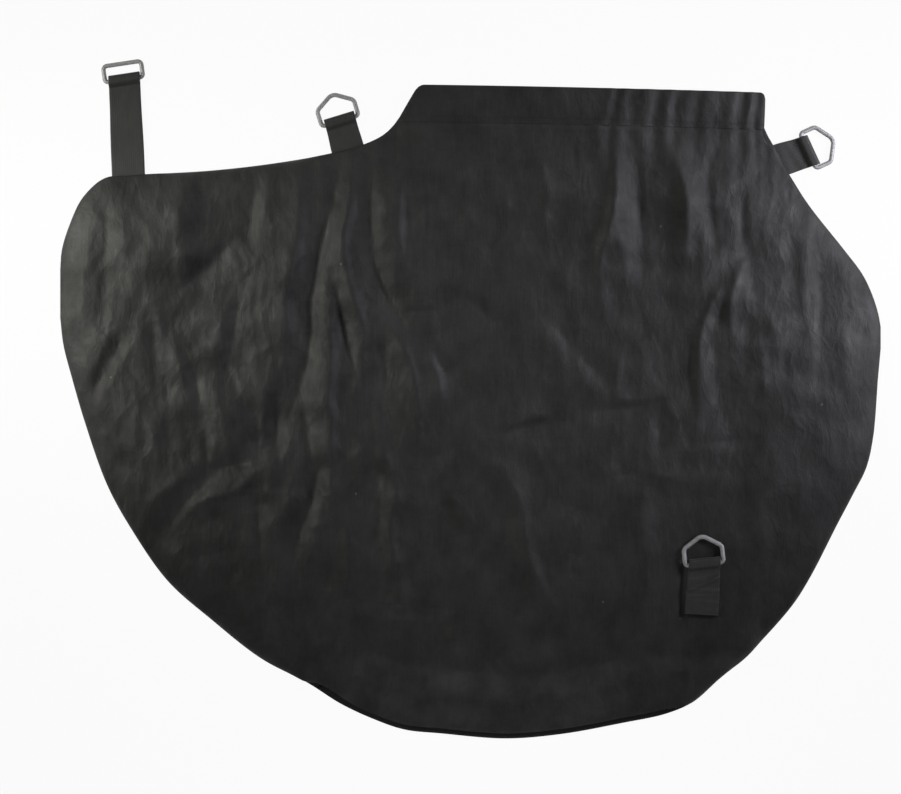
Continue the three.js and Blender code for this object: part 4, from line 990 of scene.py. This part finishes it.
def elastic_skins(level_of):
    """Upper and lower skin of the strip that is shut in between the front hem's plies, at their middle."""
    share = np.linspace(0.008, 0.992, 241)[:, None]
    start = HEM_OVERLAP + (HEM_HEIGHT - HEM_OVERLAP - PLY_STEP - CLOTH - ELASTIC_WIDTH) / 2
    along = (start + ELASTIC_WIDTH * np.linspace(0, 1, 9))[None, :]
    x, y = hem_place(share, along / HEM_HEIGHT)
    return two_skins(x, y, level_of(share, hem_phase(share, along)), ELASTIC)


def webbing_section():
    """Outline of webbing across its width: a flat band with half-round edges, as across and up."""
    half, radius = WEBBING_WIDTH / 2, WEBBING / 2
    flat, thick = np.linspace(-half + radius, half - radius, 17), np.full(17, radius)
    turn = np.linspace(-np.pi / 2, np.pi / 2, 7)[1:-1]
    bulge = half - radius + radius * np.cos(turn)
    across = np.concatenate([flat, bulge, flat[::-1], -bulge])
    return across, np.concatenate([-thick, radius * np.sin(turn), thick, -radius * np.sin(turn)])


def placed(origin, angle, along, across):
    """Places along and across a line that leaves a point at an angle: a turn and a shift."""
    x = origin[0] + along * math.cos(angle) - across * math.sin(angle)
    return x, origin[1] + along * math.sin(angle) + across * math.cos(angle)


def strap_rings(strap, creases):
    """Rings of points along a loop, and the place of each point in its weave. The section is carried along
    the ground, round the ring's bar and back over itself, and then turned and moved to its place. Bells
    across the loop, given as place, slant, reach and height, lift the upper ply."""
    length, eye = strap["length"], strap["eye"]
    s = np.unique(np.concatenate([np.arange(0, length, LOOP_STEP), [length]]))
    under = mix(strap["base"], strap["rest"], ease((s - STRAP_INSERT - 2) / 12)) + WEBBING / 2
    lifted = strap["rest"] + 2 * eye + 1.5 * WEBBING
    over = mix(under + WEBBING + GAP, lifted, ease((s - length + ROLL_START) / ROLL_RISE))
    turn = np.linspace(-np.pi / 2, np.pi / 2, 23)[1:-1]
    radius = eye + WEBBING / 2
    path_s = np.concatenate([s, length + LOOP_SLACK + radius * np.cos(turn), s[::-1]])
    path_z = np.concatenate([under, strap["rest"] + WEBBING + eye + radius * np.sin(turn), over[::-1]])
    tangent = np.stack([np.gradient(path_s), np.gradient(path_z)], 1)
    tangent /= np.linalg.norm(tangent, axis=1)[:, None]
    across, up = webbing_section()
    along = path_s[:, None] + tangent[:, 1:] * up
    height = path_z[:, None] - tangent[:, :1] * up
    across = np.broadcast_to(across, along.shape)
    upper = slice(len(s) + len(turn), None)
    for at, slant, reach, lift in creases:
        height[upper] += lift * bell((along[upper] - at - slant * across[upper]) / reach)
    near = ease((along - length / 3) / (length / 2))
    across = across * (1 - near * 2 * WEBBING_PINCH / WEBBING_WIDTH)
    along = along - across * near * math.tan(math.radians(strap["skew"]))
    x, y = placed(strap["start"], math.radians(strap["heading"]), along, across)
    run = np.concatenate([[0], np.cumsum(np.hypot(np.diff(path_s), np.diff(path_z)))])
    uv = np.stack([across, np.broadcast_to(run[:, None], across.shape)], -1)
    return cloth_points(x, y, height), uv.reshape(-1, 2)


def bent_wire(corners, bends):
    """Centre line of a closed bent wire and its outward direction: a circle's arc at each corner."""
    corners, line, outward = np.array(corners, float), [], []
    for index, corner in enumerate(corners):
        before = corners[index - 1] - corner
        after = corners[(index + 1) % len(corners)] - corner
        before, after = before / np.linalg.norm(before), after / np.linalg.norm(after)
        half = math.acos(np.clip(before @ after, -1, 1)) / 2
        middle = before + after
        centre = corner + middle / np.linalg.norm(middle) * bends[index] / math.sin(half)
        first = corner + before * bends[index] / math.tan(half) - centre
        angle = math.atan2(first[1], first[0]) + (math.pi - 2 * half) * np.linspace(0, 1, 13)
        outward.append(np.stack([np.cos(angle), np.sin(angle)], 1))
        line.append(centre + outward[-1] * bends[index])
    return np.vstack(line), np.vstack(outward)


def ring_points(strap):
    """Rings of points round a bent wire, tilted so that its far side rests, and moved to its bar."""
    ring, radius = strap["ring"], strap["ring"]["wire"] / 2
    half, far = WEBBING_WIDTH / 2 + BAR_ROOM + radius, ring["height"]
    if "leg" in ring:
        bar, shoulder, top = ring["bends"]
        corners = [(-half, 0), (half, 0), (half, ring["leg"]), (0, far + PEAK_ROOM), (-half, ring["leg"])]
        bends = (bar, bar, shoulder, top, shoulder)
    else:
        bar, top = ring["bends"]
        corners = [(-half, 0), (half, 0), (half, far), (-half, far)]
        bends = (bar, bar, top, top)
    line, out = bent_wire(corners, bends)
    angle = np.linspace(0, 2 * np.pi, 20, endpoint=False)
    flat = line[:, None, :] + out[:, None, :] * radius * np.cos(angle)[None, :, None]
    rise = np.broadcast_to(radius * np.sin(angle), flat.shape[:2])
    bar_rise = WEBBING + strap["eye"]
    tilt = -math.asin((bar_rise - radius) / far)
    away = flat[..., 1] * math.cos(tilt) - rise * math.sin(tilt)
    height = flat[..., 1] * math.sin(tilt) + rise * math.cos(tilt) + strap["rest"] + bar_rise
    heading = math.radians(strap["heading"])
    bar_place = placed(strap["start"], heading, strap["length"], 0)
    turned = heading - math.pi / 2 + math.radians(strap["skew"])
    return cloth_points(*placed(bar_place, turned, flat[..., 0], away), height)


def grains(starts, ends, width, height, sink):
    """Many small round-ended bars, such as stitches or teeth: each is a lathe of few faces from start to
    end, flattened to its height, whose two ends sink."""
    along = np.array([0.06, 0.3, 0.7, 0.94])
    girth = np.array([0.6, 1.0, 1.0, 0.6])
    angle = np.linspace(0, 2 * np.pi, 6, endpoint=False)
    axis = ends - starts
    side = np.stack([-axis[:, 1], axis[:, 0], np.zeros(len(axis))], 1)
    side /= np.linalg.norm(side, axis=1)[:, None]
    up = np.cross(axis, side)
    up /= np.linalg.norm(up, axis=1)[:, None]
    centre = starts[:, None] + axis[:, None] * along[None, :, None]
    around = (
        side[:, None, None] * (np.cos(angle) * width / 2)[None, None, :, None]
        + up[:, None, None] * (np.sin(angle) * height / 2)[None, None, :, None]
    ) * girth[None, :, None, None]
    centre[:, [0, -1], 2] -= sink
    rings = centre[:, :, None] + around
    tips = np.stack([starts, ends], 1) - [0, 0, sink]
    points = np.concatenate([rings.reshape(len(axis), -1, 3), tips], axis=1)
    index = np.arange(24).reshape(4, 6)
    around_next = np.roll(index, -1, axis=1)
    body = quads(index[:-1], around_next[:-1], around_next[1:], index[1:])
    caps = np.vstack([
        np.stack([np.full(6, 24), around_next[0], index[0]], 1),
        np.stack([np.full(6, 25), index[3], around_next[3]], 1),
    ])
    base = points.shape[1] * np.arange(len(axis))
    faces = [(group[None] + base[:, None, None]).reshape(-1, group.shape[1]) for group in (body, caps)]
    return points.reshape(-1, 3), faces


def zip_place(x, offset):
    """Point at a distance inwards from the bag's bottom edge, square to it, at a place along the zip."""
    x = x - DRAWING[0]
    here = edge_y(BOTTOM_EDGE, x)
    angle = np.arctan2(edge_y(BOTTOM_EDGE, x + 1) - here, 1.0)
    return x - np.sin(angle) * offset, here + np.cos(angle) * offset


def zip_tape_skins():
    """Outer and inner skin of the lower tape, which climbs to the coil by an ease. Its outer edge is a
    little ragged: a product of two sines."""
    x = np.linspace(ZIP_LEFT + 1, ZIP_RIGHT, 221)[:, None]
    offset = np.linspace(0, ZIP_TAPE_WIDTH, 9)[None, :]
    ragged = 0.35 * np.sin(x / 3.1) * np.sin(x / 7.7 + 1) * bell(offset / 1.5)
    x, y = zip_place(x, ZIP_MARGIN + offset + ragged)
    middle = mix(PLY_STEP + ZIP_TAPE / 2, ZIP_CHAIN_Z, ease(offset / 5.6 - 1))
    return two_skins(x, y, np.broadcast_to(middle, x.shape), ZIP_TAPE)


def zip_teeth():
    """Starts and ends of the coil's teeth, which lie across the chain."""
    places = np.arange(ZIP_LEFT + 8, ZIP_RIGHT - 4, TOOTH_PITCH)
    ends = []
    for side in (-1, 1):
        x, y = zip_place(places, ZIP_CHAIN_OFFSET + side * ZIP_CHAIN_WIDTH / 2)
        ends.append(cloth_points(x, y, np.full_like(x, ZIP_CHAIN_Z)))
    return ends


# Stage

# Lamps: place, aim, side in metres, spread in degrees, watts and colour
LAMPS = {
    "left_softbox": ((-0.80, 0.24, 0.40), (-0.30, 0.11, 0), 0.30, 52, 0.60, (1.0, 0.99, 0.91)),
    "right_softbox": ((0.82, 0.24, 0.37), (0.29, 0.12, 0), 0.30, 58, 0.74, (0.93, 0.92, 1.0)),
    "upper_key": ((0.40, 0.90, 0.9), (0.12, 0.24, 0), 0.3, 60, 0.27, (1.0, 1.0, 1.0)),
    "lower_fill": ((0.0, -0.85, 0.5), (0.02, -0.28, 0), 0.5, 54, 0.26, (1.0, 1.0, 1.0)),
}

# Colour of the floor, how far it glows to the camera, how far it lies under the bag in metres, and the
# even light of the room
PALE, WHITE = (0.85, 0.85, 0.85, 1.0), (1.0, 1.0, 1.0, 1.0)
FLOOR_GLOW = 0.95
FLOOR_DROP = 0.0002
ROOM_LIGHT = 0.04

# The camera's picture, its place over the ground in metres, and its sensor and lens in millimetres
PICTURE_WIDTH = 901
PIXELS_PER_MM = 1.1
CAMERA_PLACE = (-0.01813, 0.00177)
SENSOR_WIDTH, FOCAL_LENGTH = 36.0, 150.0


def seen_by(tree, *rays):
    """1 on a ray of the given kinds, and 0 on any other."""
    path, seen = wire(tree, "ShaderNodeLightPath"), 0.0
    for kind in rays:
        seen = plus(tree, seen, path.outputs[f"Is {kind} Ray"])
    return combine(tree, "MINIMUM", seen, 1.0)


def blend_shaders(tree, output, share, first, second):
    """Leads a mixture of two shaders, by a share, to the tree's output node."""
    both = wire(tree, "ShaderNodeMixShader", {0: share, 1: first.outputs[0], 2: second.outputs[0]})
    wire(tree, output, {"Surface": both.outputs["Shader"]})


def pale_floor(scene):
    """Wide pale floor just under the bag, which the camera sees as nearly white."""
    material = bpy.data.materials.new("pale_floor")
    tree = emptied_tree(material)
    share = times(tree, seen_by(tree, "Camera", "Glossy", "Transmission"), FLOOR_GLOW)
    matt = wire(tree, "ShaderNodeBsdfDiffuse", {"Color": PALE})
    bright = wire(tree, "ShaderNodeEmission", {"Color": WHITE, "Strength": 1.0})
    blend_shaders(tree, "ShaderNodeOutputMaterial", share, matt, bright)
    mesh = bpy.data.meshes.new("floor")
    mesh.from_pydata([(-8, -8, 0), (8, -8, 0), (8, 8, 0), (-8, 8, 0)], [], [(0, 1, 2, 3)])
    mesh.materials.append(material)
    floor = bpy.data.objects.new("floor", mesh)
    scene.collection.objects.link(floor)
    floor.location.z = -FLOOR_DROP


def hang_lamps(scene):
    """Square lamps, each turned to its aim and hidden from the camera."""
    for name, (place, aim, size, spread, power, colour) in LAMPS.items():
        light = bpy.data.lights.new(name, "AREA")
        light.shape, light.size, light.energy, light.color = "SQUARE", size, power, colour
        light.spread = math.radians(spread)
        lamp = bpy.data.objects.new(name, light)
        lamp.location = place
        lamp.rotation_euler = (lamp.location - Vector(aim)).to_track_quat("Z", "Y").to_euler()
        lamp.visible_camera = False
        scene.collection.objects.link(lamp)


def studio_world(scene):
    """World that is white to the camera and gives the bag a weak even light."""
    world = bpy.data.worlds.new("studio")
    tree = emptied_tree(world)
    room, white = (
        wire(tree, "ShaderNodeBackground", {"Color": WHITE, "Strength": strength})
        for strength in (ROOM_LIGHT, 1.0)
    )
    blend_shaders(tree, "ShaderNodeOutputWorld", seen_by(tree, "Camera", "Transmission"), room, white)
    scene.world = world
    scene.view_settings.view_transform = "Standard"


def overhead_camera(scene):
    """Camera straight over the bag, as high as the picture's width on the ground asks for."""
    camera = bpy.data.objects.new("camera", bpy.data.cameras.new("camera"))
    camera.data.sensor_width, camera.data.lens = SENSOR_WIDTH, FOCAL_LENGTH
    height = PICTURE_WIDTH / PIXELS_PER_MM * MM * FOCAL_LENGTH / SENSOR_WIDTH
    camera.location = (*CAMERA_PLACE, height)
    scene.collection.objects.link(camera)
    scene.camera = camera


# Add-on parts

COLOUR = {"size": 3, "min": 0.0, "max": 1.0, "subtype": "COLOR"}


class LeafBagSettings(bpy.types.PropertyGroup):
    """Sizes and colours of the bag that a user would change."""

    loft: FloatProperty(
        name="Loft", description="How far the slack front panel stands over its seam",
        default=0.019, min=0.004, max=0.06, unit="LENGTH",
    )
    mouth_rise: FloatProperty(
        name="Mouth rise", description="How far the front hem stands open in its middle",
        default=0.011, min=0.0, max=0.05, unit="LENGTH",
    )
    gather_height: FloatProperty(
        name="Gather height", description="Height of the puckers along the right of the hem",
        default=0.0015, min=0.0, max=0.005, unit="LENGTH",
    )
    crease_strength: FloatProperty(
        name="Crease strength", description="Share of the noted creases' height in the front panel",
        default=1.4, min=0.0, max=2.0, subtype="FACTOR",
    )
    crumple_strength: FloatProperty(
        name="Crumple strength", description="Share of the small scattered creases' height",
        default=0.85, min=0.0, max=2.0, subtype="FACTOR",
    )
    cloth_colour: FloatVectorProperty(
        name="Cloth colour", description="Colour of the woven panels and hems",
        default=(0.018, 0.018, 0.0183), **COLOUR,
    )
    webbing_colour: FloatVectorProperty(
        name="Webbing colour", description="Colour of the loops", default=(0.032, 0.0325, 0.0315), **COLOUR,
    )
    thread_colour: FloatVectorProperty(
        name="Thread colour", description="Colour of the stitches", default=(0.02, 0.02, 0.021), **COLOUR,
    )
    tape_colour: FloatVectorProperty(
        name="Tape colour", description="Colour of the zip's tapes and the elastic",
        default=(0.009, 0.009, 0.01), **COLOUR,
    )
    ring_colour: FloatVectorProperty(
        name="Ring colour", description="Colour of the plated rings", default=(0.42, 0.42, 0.43), **COLOUR,
    )


class LEAFBAG_OT_panels(bpy.types.Operator):
    """Builds the front and back panels as closed sheets of woven nylon"""

    bl_idname = "leafbag.panels"
    bl_label = "Panels"

    def execute(self, context):
        front = front_panel_skins(context.scene.leaf_bag)
        for name, skins, flat, area, below in (
            ("front", front, (0.765, 0.618), 0.346, "back_cloth"),
            ("back", back_panel_skins(), (0.746, 0.568), 0.335, "floor"),
        ):
            piece = new_piece(f"{name}_cloth", *cloth_solid(*skins), finish("woven_nylon"), "bag", "nylon",
                              (f"{name}_panel",))
        return {"FINISHED"}


class LEAFBAG_OT_hems(bpy.types.Operator):
    """Builds the two folded hems of the mouth, with the gathers of the front one"""

    bl_idname = "leafbag.hems"
    bl_label = "Hems"

    def execute(self, context):
        def front_level(share, phase):
            return mouth_level(share, context.scene.leaf_bag, phase)

        def back_level(share, phase):
            return BACK_MOUTH_Z + 0 * phase

        for name, level, puff, flat in (
            ("front_hem", front_level, FRONT_PUFF, (0.36, 0.07)),
            ("back_hem", back_level, BACK_PUFF, (0.33, 0.07)),
        ):
            piece = new_piece(f"{name}_cloth", *cloth_solid(*hem_skins(level, puff)), finish("woven_nylon"),
                              "bag", "nylon", (name,))
        stitches = grains(*hem_stitches(front_level, STITCH_ROW, FRONT_PUFF), *STITCH_SIZE)
        new_piece("hem_stitches", *stitches, finish("sewing_thread"), "bag", "nylon")
        strip = cloth_solid(*elastic_skins(front_level))
        new_piece("front_elastic_strip", *strip, finish("knitted_elastic"), "bag", "elastic",
                  ("front_elastic",))
        return {"FINISHED"}


class LEAFBAG_OT_loops(bpy.types.Operator):
    """Builds the four webbing loops"""

    bl_idname = "leafbag.loops"
    bl_label = "Webbing loops"

    def execute(self, context):
        for name, strap in STRAPS.items():
            rings, uv = strap_rings(strap, STRAP_CREASES[name])
            new_piece(f"{name}_webbing", *swept_solid(rings, closed=False), finish("ribbed_webbing"), "bag",
                      "webbing", (f"{name}_strap",), uv)
        return {"FINISHED"}


class LEAFBAG_OT_rings(bpy.types.Operator):
    """Builds the four bent wire rings"""

    bl_idname = "leafbag.rings"
    bl_label = "Rings"

    def execute(self, context):
        for name, strap in STRAPS.items():
            wires = swept_solid(ring_points(strap), closed=True)
            new_piece(f"{name}_wire", *wires, finish("plated_ring_steel"), f"{name}_ring_body", "ring_steel",
                      (f"{name}_ring",))
        return {"FINISHED"}


class LEAFBAG_OT_zip(bpy.types.Operator):
    """Builds the zip's lower tape and its coil, and finishes the solids that lie under the panel"""

    bl_idname = "leafbag.zip"
    bl_label = "Zip"

    def execute(self, context):
        tape = cloth_solid(*zip_tape_skins())
        new_piece("lower_zip_tape", *tape, finish("zip_tape_cloth"), "bag", "zip_cloth", ("zip_tape_lower",))
        teeth = grains(*zip_teeth(), *TOOTH_SIZE)
        new_piece("zip_coil_teeth", *teeth, finish("coil_nylon"), "bag", "zip_coil", ("zip_chain",))
        for node, look in KEPT_SOLIDS.items():
            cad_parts[node].data.materials.clear()
            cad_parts[node].data.materials.append(finish(look))
        return {"FINISHED"}


class LEAFBAG_OT_stage(bpy.types.Operator):
    """Lays the pale floor, hangs the lamps and sets the camera straight over the bag"""

    bl_idname = "leafbag.stage"
    bl_label = "Stage"

    def execute(self, context):
        pale_floor(context.scene)
        hang_lamps(context.scene)
        studio_world(context.scene)
        overhead_camera(context.scene)
        return {"FINISHED"}


class LEAFBAG_PT_sidebar(bpy.types.Panel):
    """Sizes, colours and pieces of the bag"""

    bl_label = "Leaf bag"
    bl_space_type = "VIEW_3D"
    bl_region_type = "UI"
    bl_category = "Leaf bag"

    def draw(self, context):
        settings = context.scene.leaf_bag
        for key in LeafBagSettings.__annotations__:
            self.layout.prop(settings, key)
        for operator in OPERATORS:
            self.layout.operator(operator.bl_idname)


OPERATORS = (
    LEAFBAG_OT_panels, LEAFBAG_OT_hems, LEAFBAG_OT_loops, LEAFBAG_OT_rings, LEAFBAG_OT_zip, LEAFBAG_OT_stage,
)
CLASSES = (LeafBagSettings, *OPERATORS, LEAFBAG_PT_sidebar)


def register():
    """Registers the classes and hangs the settings on the scene."""
    for kind in CLASSES:
        bpy.utils.register_class(kind)
    bpy.types.Scene.leaf_bag = PointerProperty(type=LeafBagSettings)


def unregister():
    """Takes away what register added."""
    del bpy.types.Scene.leaf_bag
    for kind in reversed(CLASSES):
        bpy.utils.unregister_class(kind)


def main():
    register()
    bpy.ops.leafbag.panels()
    bpy.ops.leafbag.hems()
    bpy.ops.leafbag.loops()
    bpy.ops.leafbag.rings()
    bpy.ops.leafbag.zip()
    bpy.ops.leafbag.stage()


if __name__ == "__main__":
    main()
